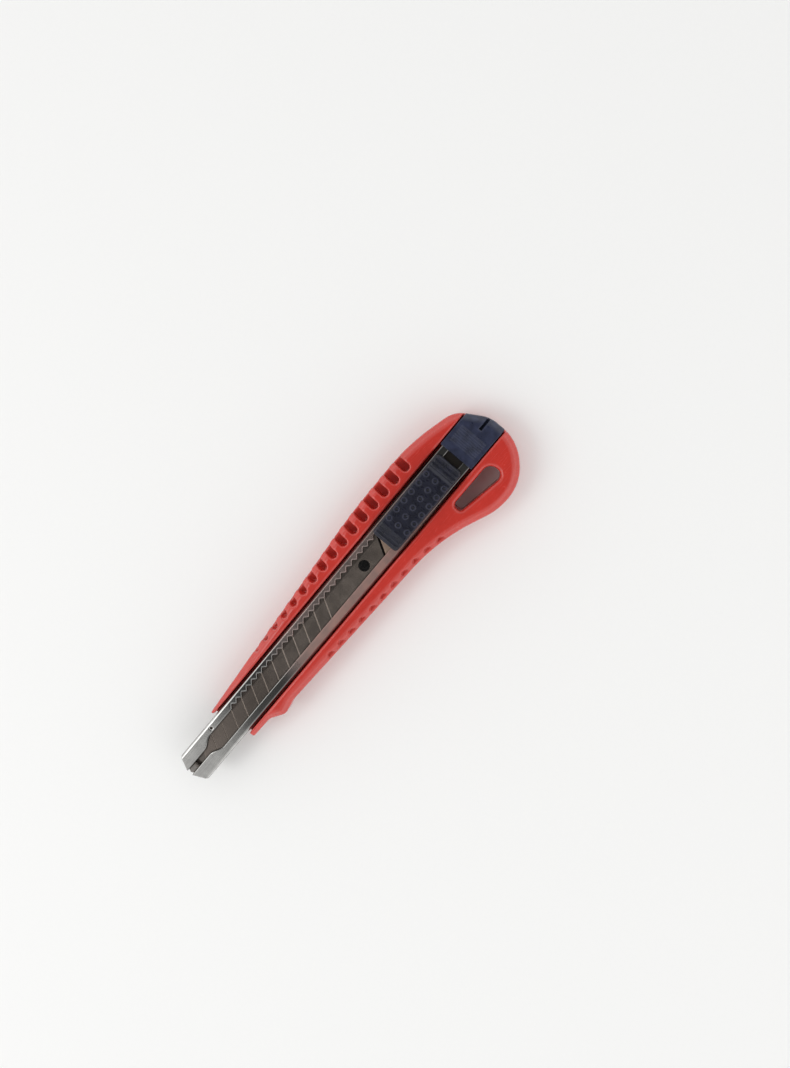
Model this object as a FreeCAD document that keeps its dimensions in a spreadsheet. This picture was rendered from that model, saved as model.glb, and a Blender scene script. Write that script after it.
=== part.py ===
"""Snap-off knife for 9 mm blades: a moulded handle, a folded steel blade guide, a blade on a sliding
carrier with a ratchet spring, a thumb slider that presses to release it, and a pull-off end cap.

Everything is drawn in the guide's own frame, in millimetres: x runs from the mouth of the guide to
the butt, y from the guide's middle line to the back of the handle, z up from the resting face. Each
body is then placed so that the origin lies in the middle of the whole knife, on that resting face.
"""
import FreeCAD, Part
import math
import os
import Sketcher

SIZES = [
    # whole knife
    ("back_rise", 12.7, "guide's middle line to the crest of the back"),
    ("belly_drop", 18.9, "guide's middle line to the lowest point of the belly"),
    ("handle_thickness", 10.6, "resting face to top face of the handle"),
    # outline of the handle
    ("nose_back_x", 19.5, "front end of the back rail"),
    ("nose_back_y", 6.95, "outside of the back rail at the nose"),
    ("nose_belly_x", 22.7, "front end of the belly rail"),
    ("nose_belly_y", 7.7, "outside of the belly rail at the nose"),
    ("crest_front_inset", 46.9, "where the rising back meets the crest line, in from the butt"),
    ("crest_front_bend", 220.0, "radius of that bend"),
    ("crest_rear_inset", 20.7, "end of the crest line, in from the butt"),
    ("crest_rear_bend", 70.0, "radius of that bend"),
    ("shoulder_inset", 5.2, "shoulder corner, in from the butt"),
    ("shoulder_y", 8.5, "shoulder corner, above the middle line"),
    ("shoulder_bend", 8.0, "radius of the shoulder"),
    ("butt_top_y", 0.2, "upper corner of the butt, below the middle line"),
    ("butt_top_bend", 9.0, "radius of that corner"),
    ("butt_low_y", 10.4, "lower corner of the butt, below the middle line"),
    ("butt_foot_inset", 8.5, "foot corner of the butt, in from the butt"),
    ("butt_low_bend", 13.4, "radius of both lower corners"),
    ("belly_foot_inset", 18.4, "where the belly leaves its lowest line, in from the butt"),
    ("belly_foot_bend", 20.0, "radius of that bend"),
    ("belly_bend_inset", 35.7, "hollow of the belly, in from the butt"),
    ("belly_bend_y", 11.6, "hollow of the belly, below the middle line"),
    ("belly_hollow", 60.0, "radius of the hollow"),
    ("guard_rear_x", 39.4, "rear foot of the finger guard"),
    ("guard_rear_y", 9.6, "rear foot of the finger guard, below the middle line"),
    ("guard_rear_bend", 6.0, "radius at the rear foot"),
    ("guard_tip_x", 34.6, "tip of the finger guard"),
    ("guard_tip_y", 10.6, "tip of the finger guard, below the middle line"),
    ("guard_tip_bend", 3.0, "radius of the tip"),
    ("guard_front_x", 30.2, "front foot of the finger guard"),
    ("guard_front_y", 7.9, "front foot of the finger guard, below the middle line"),
    ("guard_front_bend", 3.5, "radius at the front foot"),
    ("rim_bevel", 1.9, "bevel round the top face"),
    ("back_bevel", 1.2, "bevel round the resting face"),
    ("nose_rise", 3.4, "how far the underside climbs at the nose"),
    ("nose_rise_x", 48.0, "where that climb starts"),
    # groove, grips and eye of the handle
    ("groove_depth", 4.6, "top face to the floor of the groove"),
    ("groove_gap", 0.55, "gap on each side of the guide"),
    ("grip_first_x", 44.2, "middle of the first grip pocket"),
    ("grip_pitch", 4.68, "pitch of the grips"),
    ("grip_count", 16, "grip pockets along the back"),
    ("grip_width", 2.4, "width of a grip pocket"),
    ("grip_end_y", 7.95, "inner end of a grip pocket"),
    ("grip_depth", 4.2, "depth of a grip pocket"),
    ("flute_skip", 3, "grip stations before the first flute of the belly"),
    ("flute_count", 11, "flutes along the belly"),
    ("flute_radius", 1.25, "radius of a flute"),
    ("flute_depth", 0.45, "depth of a flute in the bevel"),
    ("eye_inset", 12.4, "middle of the eye's large end, in from the butt"),
    ("eye_y", 10.95, "middle of the eye's large end, below the middle line"),
    ("eye_radius", 2.75, "large end of the eye"),
    ("eye_tip_inset", 24.1, "middle of the eye's small end, in from the butt"),
    ("eye_tip_radius", 1.4, "small end of the eye"),
    # blade guide
    ("guide_height", 3.4, "outside height"),
    ("guide_sheet", 0.5, "thickness of the folded sheet"),
    ("fold_radius", 0.9, "outside radius of the folds"),
    ("guide_end_inset", 6.2, "rear end of the guide, in from the butt"),
    ("mouth_point", 2.75, "length of the guide's pointed mouth"),
    ("mouth_slot", 1.8, "width of the slot at the mouth"),
    ("wide_slot", 5.3, "width of the slot behind the mouth"),
    ("flare_front_x", 10.0, "where the slot starts to widen"),
    ("flare_rear_x", 13.6, "where the slot is fully wide"),
    ("flare_bend", 5.0, "bends of the widening slot"),
    ("sill_length", 3.8, "raised sill under the mouth"),
    ("sill_margin", 0.8, "flat of the floor on each side of the sill"),
    ("sill_play", 0.2, "play between the sill and the blade"),
    ("tooth_first_x", 26.25, "first notch of the ratchet"),
    ("tooth_pitch", 2.5, "pitch of the ratchet"),
    ("tooth_count", 31, "notches of the ratchet"),
    ("tooth_depth", 1.1, "depth of a notch"),
    ("tooth_land", 0.1, "flat left between two notches"),
    ("gauge_hole_x", 16.2, "small hole in the lip"),
    ("gauge_hole_y", 3.75, "small hole in the lip, above the middle line"),
    ("gauge_hole_radius", 0.4, "small hole in the lip"),
    ("tab_root_x", 62.0, "root of the tab that locks the guide in the handle"),
    ("tab_length", 4.0, "length of the tab"),
    ("tab_width", 3.0, "width of the tab"),
    ("tab_drop", 0.9, "how far the tab reaches into the handle"),
    ("tab_play", 0.25, "play round the tab"),
    # blade
    ("blade_width", 9.0, "width of the blade"),
    ("blade_length", 84.2, "length of the blade along its middle"),
    ("blade_thickness", 0.4, "thickness of the blade"),
    ("blade_play", 0.1, "play between the blade and the lips"),
    ("blade_side_play", 0.4, "play between the blade's edges and the guide"),
    ("blade_to_slider", 2.0, "tail of the blade to the front of the thumb slider"),
    ("segment_pitch", 5.0, "length of a snap-off segment"),
    ("score_count", 12, "score lines between the segments"),
    ("segment_slant", 30.0, "slant of the segments, in degrees from square"),
    ("score_width", 0.3, "width of a score line"),
    ("score_depth", 0.12, "depth of a score line"),
    ("edge_grind", 1.1, "width of the ground cutting edge"),
    ("edge_land", 0.08, "thickness left at the cutting edge"),
    ("stud_hole_radius", 1.7, "hole in the blade's tail"),
    ("stud_hole_inset", 7.4, "hole in the blade's tail, in from the tail"),
    # carrier and stud
    ("carrier_sheet", 0.6, "thickness of the carrier's sheet"),
    ("carrier_play", 0.25, "play on each side of the carrier"),
    ("floor_play", 0.15, "play between the carrier's flanges and the floor"),
    ("carrier_inset", 0.9, "rear end of the carrier, in from the thumb slider's"),
    ("tongue_reach", 4.0, "tongue in front of the stud"),
    ("tongue_width", 7.0, "width of the tongue under the blade"),
    ("tongue_lap", 2.0, "lap of the tongue under the carrier's plate"),
    ("tongue_corner", 1.5, "corners of the tongue"),
    ("tail_gap", 0.8, "gap between the blade's tail and the carrier's plate"),
    ("stud_play", 0.1, "radial play of the stud in the blade"),
    ("stud_shank", 1.0, "radius of the stud's shank in the tongue"),
    ("stud_foot", 0.25, "height of the stud's peened foot"),
    ("shank_play", 0.04, "radial play of the shanks of the stud and the rivet"),
    # ratchet spring and its rivet
    ("spring_sheet", 0.3, "thickness of the ratchet spring"),
    ("spring_root", 4.6, "length of the ratchet spring's root on the carrier"),
    ("spring_root_width", 3.6, "width of the ratchet spring's root"),
    ("spring_arm", 9.0, "ratchet spring's root to its pawl"),
    ("spring_lift", 0.1, "play between the ratchet spring's arm and the carrier"),
    ("pawl_half", 1.1, "half the length of the pawl"),
    ("pawl_play", 0.15, "play of the pawl in its notch"),
    ("pawl_tail", 0.7, "ratchet spring in front of its pawl"),
    ("spring_rear_arm", 7.0, "arm behind the ratchet spring's root"),
    ("rivet_radius", 0.7, "shank of the rivet"),
    ("rivet_head_radius", 1.15, "head of the rivet"),
    ("rivet_head_height", 0.3, "head of the rivet"),
    # thumb slider
    ("slider_length", 29.2, "length of the thumb slider"),
    ("slider_width", 9.0, "width of the thumb slider"),
    ("slider_height", 3.6, "lips to the top of the thumb slider"),
    ("pawl_inset", 7.05, "pawl, in from the front of the thumb slider"),
    ("slider_rear_gap", 2.3, "thumb slider to end cap when the blade is in"),
    ("slider_ramp", 4.4, "low ramp at the front of the thumb slider"),
    ("slider_ramp_drop", 1.3, "how low the ramp starts"),
    ("slider_heel", 4.6, "raised heel at the rear of the thumb slider"),
    ("slider_rise", 1.2, "length of the rise to the heel"),
    ("slider_dish", 0.5, "depth of the thumb pad under the heel"),
    ("slider_bend", 1.0, "bends of the thumb slider's top"),
    ("slider_corner", 1.1, "corner radius of the thumb slider"),
    ("slider_edge", 0.35, "rounding of the thumb slider's top edges"),
    ("press_travel", 0.7, "travel of the thumb slider when pressed"),
    ("press_play", 0.1, "play left under the pressed thumb slider"),
    ("leg_length", 1.4, "length of a leg of the thumb slider"),
    ("leg_width", 2.0, "width of a leg of the thumb slider"),
    ("leg_side", 0.3, "middle line to the near side of a leg"),
    ("leg_front", 7.4, "front leg, in from the front of the thumb slider"),
    ("leg_rear", 1.55, "rear leg, behind the root of the ratchet spring"),
    ("leg_play", 0.2, "play round a leg in the carrier"),
    ("hook_reach", 0.8, "reach of a leg's hook under the carrier"),
    ("hook_height", 0.45, "height of a leg's hook"),
    ("hook_play", 0.1, "play between a hook and the carrier"),
    ("wedge_length", 1.2, "length of the wedge that moves the pawl"),
    ("wedge_offset", 1.5, "pawl to the front of the wedge"),
    ("wedge_width", 0.55, "width of the wedge's lower edge"),
    ("wedge_reach", 1.1, "slope of the wedge that moves the pawl's arm"),
    ("rear_wedge_reach", 0.8, "slope of the wedge that moves the rear arm"),
    ("rib_pitch", 1.3, "pitch of the cross ribs"),
    ("rib_radius", 0.3, "radius of a cross rib"),
    ("front_rib_count", 2, "cross ribs on the ramp"),
    ("heel_rib_count", 3, "cross ribs on the heel"),
    ("dot_pitch", 3.24, "pitch of the pad's round grip dots"),
    ("dot_rows", 3, "rows of grip dots"),
    ("dot_columns", 6, "grip dots in a row"),
    ("dot_first", 6.6, "first grip dot, in from the front of the thumb slider"),
    ("dot_radius", 0.9, "radius of a grip dot"),
    ("dot_height", 0.2, "height of a grip dot"),
    # end cap
    ("cap_length", 14.5, "front edge of the cap to the butt"),
    ("cap_side_gap", 0.3, "gap on each side of the cap"),
    ("cap_play", 0.15, "play of the cap round the guide"),
    ("cap_drop", 0.25, "top of the cap below the top of the handle"),
    ("cap_floor_play", 0.1, "play between the cap and the floor of the groove"),
    ("plug_length", 7.0, "length of the cap's plug inside the guide"),
    ("plug_bevel", 0.6, "lead-in of the plug"),
    ("snap_slot_y", 0.35, "slot for snapping the blade, below the middle line"),
    ("snap_slot_width", 0.8, "slot for snapping the blade"),
    ("snap_slot_length", 4.5, "slot for snapping the blade"),
    ("cap_rib_inset", 2.8, "first rib of the cap, in from its front edge"),
    ("cap_rib_count", 4, "ribs across the cap"),
    ("cap_rib_pitch", 1.0, "pitch of the cap's ribs"),
    ("cap_rib_radius", 0.25, "radius of a rib of the cap"),
    ("cap_rib_margin", 1.3, "cap's side to the end of its ribs"),
]

doc = FreeCAD.newDocument("snap_off_knife")
table = doc.addObject("Spreadsheet::Sheet", "d")
for row, (alias, number, note) in enumerate(SIZES, start=1):
    table.set(f"A{row}", alias)
    table.set(f"B{row}", str(number))
    table.set(f"C{row}", note)
    table.setAlias(f"B{row}", alias)
doc.recompute()

# Heights and stations that several bodies share, as expressions on the sheet
TOP_Z = "d.handle_thickness"
FLOOR_Z = f"({TOP_Z} - d.groove_depth)"
BASE_Z = f"({FLOOR_Z} + d.guide_sheet)"
LIP_TOP_Z = f"({FLOOR_Z} + d.guide_height)"
LIP_UNDER_Z = f"({LIP_TOP_Z} - d.guide_sheet)"
BLADE_TOP_Z = f"({LIP_UNDER_Z} - d.blade_play)"
BLADE_UNDER_Z = f"({BLADE_TOP_Z} - d.blade_thickness)"
PLATE_UNDER_Z = f"({BLADE_TOP_Z} - d.carrier_sheet)"
TONGUE_UNDER_Z = f"({BLADE_UNDER_Z} - d.carrier_sheet)"
SLIDER_UNDER_Z = f"({LIP_TOP_Z} + d.press_travel + d.press_play)"
SLIDER_TOP_Z = f"({LIP_TOP_Z} + d.slider_height)"
PAD_Z = f"({SLIDER_TOP_Z} - d.slider_dish)"
CAP_TOP_Z = f"({TOP_Z} - d.cap_drop)"

PAWL_X = "(d.tooth_first_x + (d.tooth_count - 1) * d.tooth_pitch)"
SLIDER_FRONT = f"({PAWL_X} - d.pawl_inset)"
SLIDER_REAR = f"({SLIDER_FRONT} + d.slider_length)"
CAP_FRONT = f"({SLIDER_REAR} + d.slider_rear_gap)"
BUTT = f"({CAP_FRONT} + d.cap_length)"
GUIDE_END = f"({BUTT} - d.guide_end_inset)"
TAIL = f"({SLIDER_FRONT} - d.blade_to_slider)"
TIP = f"({TAIL} - d.blade_length)"
STUD_X = f"({TAIL} - d.stud_hole_inset)"
PLATE_FRONT = f"({TAIL} + d.tail_gap)"
CARRIER_REAR = f"({SLIDER_REAR} - d.carrier_inset)"
SPRING_ROOT_X = f"({PAWL_X} + d.spring_arm)"
RIVET_X = f"({SPRING_ROOT_X} + d.spring_root / 2)"

INNER_HALF = "(d.blade_width / 2 + d.blade_side_play)"
GUIDE_HALF = f"({INNER_HALF} + d.guide_sheet)"
GROOVE_HALF = f"({GUIDE_HALF} + d.groove_gap)"
CARRIER_HALF = f"({INNER_HALF} - d.carrier_play)"
SLOT_HALF = "(d.wide_slot / 2)"
SLANT = "tan(d.segment_slant)"


def value(expression):
    """The number that an expression on the sheet gives now, in millimetres or degrees."""
    found = table.evalExpression(expression)
    return float(getattr(found, "Value", found))


def new_body(name):
    """A body in the guide's frame, placed so that the knife's middle lies over the origin."""
    body = doc.addObject("PartDesign::Body", name)
    body.Label = name
    body.setExpression("Placement.Base.x", f"-{BUTT} / 2")
    body.setExpression("Placement.Base.y", "(d.belly_drop - d.back_rise) / 2")
    return body


def new_sketch(body, name, plane="XY_Plane", offset="0", tilt=None):
    """A sketch on one of the body's origin planes, moved along that plane's normal by offset."""
    sketch = body.newObject("Sketcher::SketchObject", name)
    support = [f for f in body.Origin.OriginFeatures if f.Role == plane][0]
    sketch.AttachmentSupport = [(support, "")]
    sketch.MapMode = "FlatFace"
    sketch.setExpression("AttachmentOffset.Base.z", offset)
    if tilt is not None:
        sketch.AttachmentOffset = FreeCAD.Placement(sketch.AttachmentOffset.Base, tilt)
    return sketch


def bind(sketch, constraint, expression):
    """Adds a constraint and ties its size to the sheet."""
    index = sketch.addConstraint(constraint)
    sketch.setExpression(f"Constraints[{index}]", expression)


def fix_point(sketch, geometry, position, x, y):
    """Holds one point of a sketch at two expressions."""
    bind(sketch, Sketcher.Constraint("DistanceX", -1, 1, geometry, position, value(x)), x)
    bind(sketch, Sketcher.Constraint("DistanceY", -1, 1, geometry, position, value(y)), y)


def add_profile(sketch, corners):
    """A closed profile through corners (x, y, radius), each an expression, with tangent arcs."""
    at = [FreeCAD.Vector(value(x), value(y), 0) for x, y, _ in corners]
    count = len(corners)
    starts, ends, arcs = [], [], []
    for i, (_, _, radius) in enumerate(corners):
        into = (at[i] - at[i - 1]).normalize()
        out = (at[(i + 1) % count] - at[i]).normalize()
        half = (math.pi - into.getAngle(out)) / 2
        bend = value(radius)
        starts.append(at[i] - into * (bend / math.tan(half)))
        ends.append(at[i] + out * (bend / math.tan(half)))
        arcs.append(None)
        if bend > 0:
            centre = at[i] + (out - into).normalize() * (bend / math.sin(half))
            left = into.cross(out).z > 0
            first, last = (starts[i], ends[i]) if left else (ends[i], starts[i])
            angles = [math.atan2(p.y - centre.y, p.x - centre.x) for p in (first, last)]
            circle = Part.Circle(centre, FreeCAD.Vector(0, 0, 1), bend)
            arcs[i] = (Part.ArcOfCircle(circle, *angles), left)
    lines = [sketch.addGeometry(Part.LineSegment(ends[i], starts[(i + 1) % count])) for i in range(count)]
    for i, (x, y, radius) in enumerate(corners):
        into, out = lines[i - 1], lines[i]
        if arcs[i] is None:
            sketch.addConstraint(Sketcher.Constraint("Coincident", into, 2, out, 1))
            fix_point(sketch, out, 1, x, y)
            continue
        arc = sketch.addGeometry(arcs[i][0])
        first, last = (1, 2) if arcs[i][1] else (2, 1)
        corner = sketch.addGeometry(Part.Point(at[i]), True)
        sketch.addConstraint(Sketcher.Constraint("Tangent", into, 2, arc, first))
        sketch.addConstraint(Sketcher.Constraint("Tangent", arc, last, out, 1))
        sketch.addConstraint(Sketcher.Constraint("PointOnObject", corner, 1, into))
        sketch.addConstraint(Sketcher.Constraint("PointOnObject", corner, 1, out))
        fix_point(sketch, corner, 1, x, y)
        bind(sketch, Sketcher.Constraint("Radius", arc, value(radius)), radius)


def add_rounded_box(sketch, x_low, x_high, y_low, y_high, radius):
    """A rectangle between four expressions, with one radius at its corners."""
    add_profile(sketch, [(x_low, y_low, radius), (x_high, y_low, radius),
                         (x_high, y_high, radius), (x_low, y_high, radius)])


def add_box(sketch, x_low, x_high, y_low, y_high):
    """A rectangle between four expressions."""
    add_rounded_box(sketch, x_low, x_high, y_low, y_high, "0")


def add_circle(sketch, x, y, radius):
    """A circle from three expressions."""
    centre = FreeCAD.Vector(value(x), value(y), 0)
    circle = sketch.addGeometry(Part.Circle(centre, FreeCAD.Vector(0, 0, 1), value(radius)))
    fix_point(sketch, circle, 3, x, y)
    bind(sketch, Sketcher.Constraint("Radius", circle, value(radius)), radius)


def extrude(body, kind, sketch, name, length, reverse=False, midplane=False):
    """A Pad or Pocket of a sketch, of a length given by an expression."""
    feature = body.newObject(f"PartDesign::{kind}", name)
    feature.Profile = sketch
    feature.setExpression("Length", length)
    feature.Reversed = reverse
    feature.Midplane = midplane
    body.Tip = feature
    sketch.Visibility = False
    doc.recompute()
    return feature


def pad(body, sketch, name, length, **options):
    return extrude(body, "Pad", sketch, name, length, **options)


def cut_down(body, sketch, name, length):
    """A pocket that goes down from its sketch."""
    return extrude(body, "Pocket", sketch, name, length)


def dress(body, kind, name, base, edges, expression):
    """A Fillet or Chamfer of the listed edges of the last feature."""
    feature = body.newObject(f"PartDesign::{kind}", name)
    feature.Base = (base, edges)
    feature.setExpression("Radius" if kind == "Fillet" else "Size", expression)
    body.Tip = feature
    doc.recompute()
    return feature


def edges_where(feature, test):
    """Names of the edges of a feature whose bounding box passes a test."""
    return [f"Edge{i}" for i, edge in enumerate(feature.Shape.Edges, start=1) if test(edge.BoundBox)]


def repeat(body, feature, name, pitch, count):
    """Copies of a feature along its sketch's horizontal axis, a pitch apart."""
    pattern = body.newObject("PartDesign::LinearPattern", name)
    pattern.Originals = [feature]
    pattern.Direction = (feature.Profile[0], ["H_Axis"])
    pattern.Mode = "Spacing"
    pattern.setExpression("Offset", pitch)
    pattern.setExpression("Occurrences", count)
    body.Tip = pattern
    doc.recompute()
    return pattern


def revolve(body, sketch, name, x):
    """A full turn of a sketch in the XZ plane about the vertical line at x."""
    foot, head = (FreeCAD.Vector(value(x), height, 0) for height in (0, 1))
    axis = sketch.addGeometry(Part.LineSegment(foot, head), True)
    sketch.addConstraint(Sketcher.Constraint("Vertical", axis))
    fix_point(sketch, axis, 1, x, "0")
    bind(sketch, Sketcher.Constraint("DistanceY", axis, 1, axis, 2, 1.0), "1")
    feature = body.newObject("PartDesign::Revolution", name)
    feature.Profile = sketch
    feature.ReferenceAxis = (sketch, ["Axis0"])
    feature.Angle = 360
    body.Tip = feature
    doc.recompute()
    return feature


def near(first, second):
    return abs(first - second) < 1e-4


# ---------------------------------------------------------------- handle
def handle_outline():
    """Corners of the handle seen from above, with the radius of each bend."""
    return [
        ("d.nose_back_x", "d.nose_back_y", "0"),
        (f"{BUTT} - d.crest_front_inset", "d.back_rise", "d.crest_front_bend"),
        (f"{BUTT} - d.crest_rear_inset", "d.back_rise", "d.crest_rear_bend"),
        (f"{BUTT} - d.shoulder_inset", "d.shoulder_y", "d.shoulder_bend"),
        (BUTT, "-d.butt_top_y", "d.butt_top_bend"),
        (BUTT, "-d.butt_low_y", "d.butt_low_bend"),
        (f"{BUTT} - d.butt_foot_inset", "-d.belly_drop", "d.butt_low_bend"),
        (f"{BUTT} - d.belly_foot_inset", "-d.belly_drop", "d.belly_foot_bend"),
        (f"{BUTT} - d.belly_bend_inset", "-d.belly_bend_y", "d.belly_hollow"),
        ("d.guard_rear_x", "-d.guard_rear_y", "d.guard_rear_bend"),
        ("d.guard_tip_x", "-d.guard_tip_y", "d.guard_tip_bend"),
        ("d.guard_front_x", "-d.guard_front_y", "d.guard_front_bend"),
        ("d.nose_belly_x", "-d.nose_belly_y", "0"),
    ]


def belly_drop_at(x):
    """How far the belly's outline lies below the middle line at x, ahead of the foot."""
    x1, y1 = value("d.guard_rear_x"), value("d.guard_rear_y")
    x2, y2 = value(f"{BUTT} - d.belly_bend_inset"), value("d.belly_bend_y")
    x3, y3 = value(f"{BUTT} - d.belly_foot_inset"), value("d.belly_drop")
    flat = math.atan2(y2 - y1, x2 - x1)
    steep = math.atan2(y3 - y2, x3 - x2)
    bend = value("d.belly_hollow")
    reach = bend * math.tan((steep - flat) / 2)
    start = x2 - reach * math.cos(flat)
    if x <= start:
        return y1 + (x - x1) * math.tan(flat)
    angle = math.asin(min(1.0, math.sin(flat) + (x - start) / bend))
    return y2 - reach * math.sin(flat) + bend * (math.cos(flat) - math.cos(angle))


def eye_corners():
    """The eye as a tapered slot, whose large and small ends are nearly full rounds."""
    x_big, x_small = f"({BUTT} - d.eye_inset)", f"({BUTT} - d.eye_tip_inset)"
    top = "(d.eye_radius - d.eye_y)"
    return [(f"{x_small} - d.eye_tip_radius", f"{top} - 2 * d.eye_tip_radius", "0.9 * d.eye_tip_radius"),
            (f"{x_big} + d.eye_radius", f"{top} - 2 * d.eye_radius", "0.8 * d.eye_radius"),
            (f"{x_big} + d.eye_radius", top, "0.98 * d.eye_radius"),
            (f"{x_small} - d.eye_tip_radius", top, "0.98 * d.eye_tip_radius")]


def make_handle():
    body = new_body("handle_body")
    outline = new_sketch(body, "handle_outline")
    add_profile(outline, handle_outline())
    pad(body, outline, "handle_block", TOP_Z)

    climb = new_sketch(body, "nose_climb", "XZ_Plane")
    add_profile(climb, [("0", "-1", "0"), ("d.nose_rise_x", "-1", "0"), ("d.nose_rise_x", "0", "0"),
                        ("d.nose_back_x", "d.nose_rise", "0"), ("0", "d.nose_rise", "0")])
    climbed = extrude(body, "Pocket", climb, "nose_underside", "4 * d.belly_drop", midplane=True)

    top = value(TOP_Z)
    rim = edges_where(climbed, lambda box: near(box.ZMin, top) and near(box.ZMax, top))
    bevelled = dress(body, "Chamfer", "rim_bevel", climbed, rim, "d.rim_bevel")
    fold = value("d.nose_rise_x")
    under = edges_where(bevelled, lambda box: box.ZMax < value("d.nose_rise") + 0.01
                        and not (near(box.XMin, fold) and near(box.XMax, fold)))
    dress(body, "Chamfer", "back_bevel", bevelled, under, "d.back_bevel")

    groove = new_sketch(body, "groove_plan", offset=TOP_Z)
    add_box(groove, "-1", f"{BUTT} + 1", f"-{GROOVE_HALF}", GROOVE_HALF)
    cut_down(body, groove, "guide_groove", "d.groove_depth")

    lock = new_sketch(body, "tab_pocket_plan", offset=FLOOR_Z)
    half = "(d.tab_width / 2 + d.tab_play)"
    add_box(lock, "d.tab_root_x - d.tab_length - d.tab_play", "d.tab_root_x", f"-{half}", half)
    cut_down(body, lock, "tab_pocket", "d.tab_drop + d.tab_play")

    grip = new_sketch(body, "grip_plan", offset=TOP_Z)
    half = "(d.grip_width / 2)"
    add_profile(grip, [(f"d.grip_first_x - {half}", "d.grip_end_y", f"0.95 * {half}"),
                       (f"d.grip_first_x + {half}", "d.grip_end_y", f"0.95 * {half}"),
                       (f"d.grip_first_x + {half}", "d.back_rise + 2", "0"),
                       (f"d.grip_first_x - {half}", "d.back_rise + 2", "0")])
    first_grip = cut_down(body, grip, "first_grip_pocket", "d.grip_depth")
    repeat(body, first_grip, "grip_pockets", "d.grip_pitch", "d.grip_count")

    flutes = new_sketch(body, "flute_plan", "XZ_Plane", tilt=FreeCAD.Rotation(FreeCAD.Vector(1, 0, 0), 45))
    first = int(value("d.flute_skip"))
    for station in range(first, first + int(value("d.flute_count"))):
        x = f"(d.grip_first_x + {station} * d.grip_pitch)"
        middle = belly_drop_at(value(x)) - value("d.rim_bevel") / 2 + value(f"{TOP_Z} - d.rim_bevel / 2")
        height = f"{middle / math.sqrt(2):.3f} + d.flute_radius - d.flute_depth"
        add_circle(flutes, x, height, "d.flute_radius")
    extrude(body, "Pocket", flutes, "belly_flutes", "0.9 * d.rim_bevel", midplane=True)

    eye = new_sketch(body, "eye_plan", offset=TOP_Z)
    add_profile(eye, eye_corners())
    cut_down(body, eye, "lanyard_eye", TOP_Z)


# ---------------------------------------------------------------- blade guide
def make_guide():
    body = new_body("guide_channel")
    section = new_sketch(body, "channel_section", "YZ_Plane")
    add_rounded_box(section, f"-{GUIDE_HALF}", GUIDE_HALF, FLOOR_Z, LIP_TOP_Z, "d.fold_radius")
    add_rounded_box(section, f"-{INNER_HALF}", INNER_HALF, BASE_Z, LIP_UNDER_Z,
                    "d.fold_radius - d.guide_sheet")
    pad(body, section, "folded_sheet", GUIDE_END)

    slot = new_sketch(body, "slot_plan", offset=LIP_TOP_Z)
    mouth = "(d.mouth_slot / 2)"
    add_profile(slot, [("-1", f"-{mouth}", "0"), ("d.flare_front_x", f"-{mouth}", "d.flare_bend"),
                       ("d.flare_rear_x", f"-{SLOT_HALF}", "d.flare_bend"),
                       (f"{GUIDE_END} + 1", f"-{SLOT_HALF}", "0"), (f"{GUIDE_END} + 1", SLOT_HALF, "0"),
                       ("d.flare_rear_x", SLOT_HALF, "d.flare_bend"),
                       ("d.flare_front_x", mouth, "d.flare_bend"), ("-1", mouth, "0")])
    cut_down(body, slot, "lip_slot", "2 * d.guide_sheet")

    notch = new_sketch(body, "notch_plan", offset=LIP_TOP_Z)
    reach = "((d.tooth_pitch - d.tooth_land) / 2)"
    add_profile(notch, [(f"d.tooth_first_x - {reach}", f"{SLOT_HALF} - 0.01", "0"),
                        (f"d.tooth_first_x + {reach}", f"{SLOT_HALF} - 0.01", "0"),
                        ("d.tooth_first_x", f"{SLOT_HALF} + d.tooth_depth", "d.tooth_land")])
    first_notch = cut_down(body, notch, "first_notch", "2 * d.guide_sheet")
    repeat(body, first_notch, "ratchet_notches", "d.tooth_pitch", "d.tooth_count")

    sill = new_sketch(body, "sill_plan", offset=FLOOR_Z)
    half_sill = f"({INNER_HALF} - d.sill_margin)"
    add_box(sill, "0", "d.sill_length", f"-{half_sill}", half_sill)
    pad(body, sill, "mouth_sill", f"{BLADE_UNDER_Z} - {FLOOR_Z} - d.sill_play")

    point = new_sketch(body, "mouth_plan", offset=f"{LIP_TOP_Z} + 1")
    corner = f"d.mouth_point * ({GUIDE_HALF} + 1) / {GUIDE_HALF}"
    beyond = f"({GUIDE_HALF} + 1)"
    add_profile(point, [("-1", f"-{beyond}", "0"), (corner, f"-{beyond}", "0"), ("0", "0", "0"),
                        (corner, beyond, "0"), ("-1", beyond, "0")])
    cut_down(body, point, "pointed_mouth", "2 * d.guide_height")

    hole = new_sketch(body, "gauge_hole_plan", offset=LIP_TOP_Z)
    add_circle(hole, "d.gauge_hole_x", "d.gauge_hole_y", "d.gauge_hole_radius")
    cut_down(body, hole, "gauge_hole", "2 * d.guide_sheet")

    window = new_sketch(body, "tab_window_plan", offset=BASE_Z)
    half = "(d.tab_width / 2 + d.tab_play)"
    add_box(window, "d.tab_root_x - d.tab_length - d.tab_play", "d.tab_root_x", f"-{half}", half)
    cut_down(body, window, "tab_window", "d.guide_sheet")
    tab = new_sketch(body, "tab_side", "XZ_Plane")
    tip = "d.tab_root_x - d.tab_length"
    add_profile(tab, [(tip, f"{FLOOR_Z} - d.tab_drop", "0"), ("d.tab_root_x", FLOOR_Z, "0"),
                      ("d.tab_root_x + 0.1", FLOOR_Z, "0"),
                      ("d.tab_root_x + 0.1", BASE_Z, "0"), (tip, f"{BASE_Z} - d.tab_drop", "0")])
    pad(body, tab, "lock_tab", "d.tab_width", midplane=True)


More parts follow.
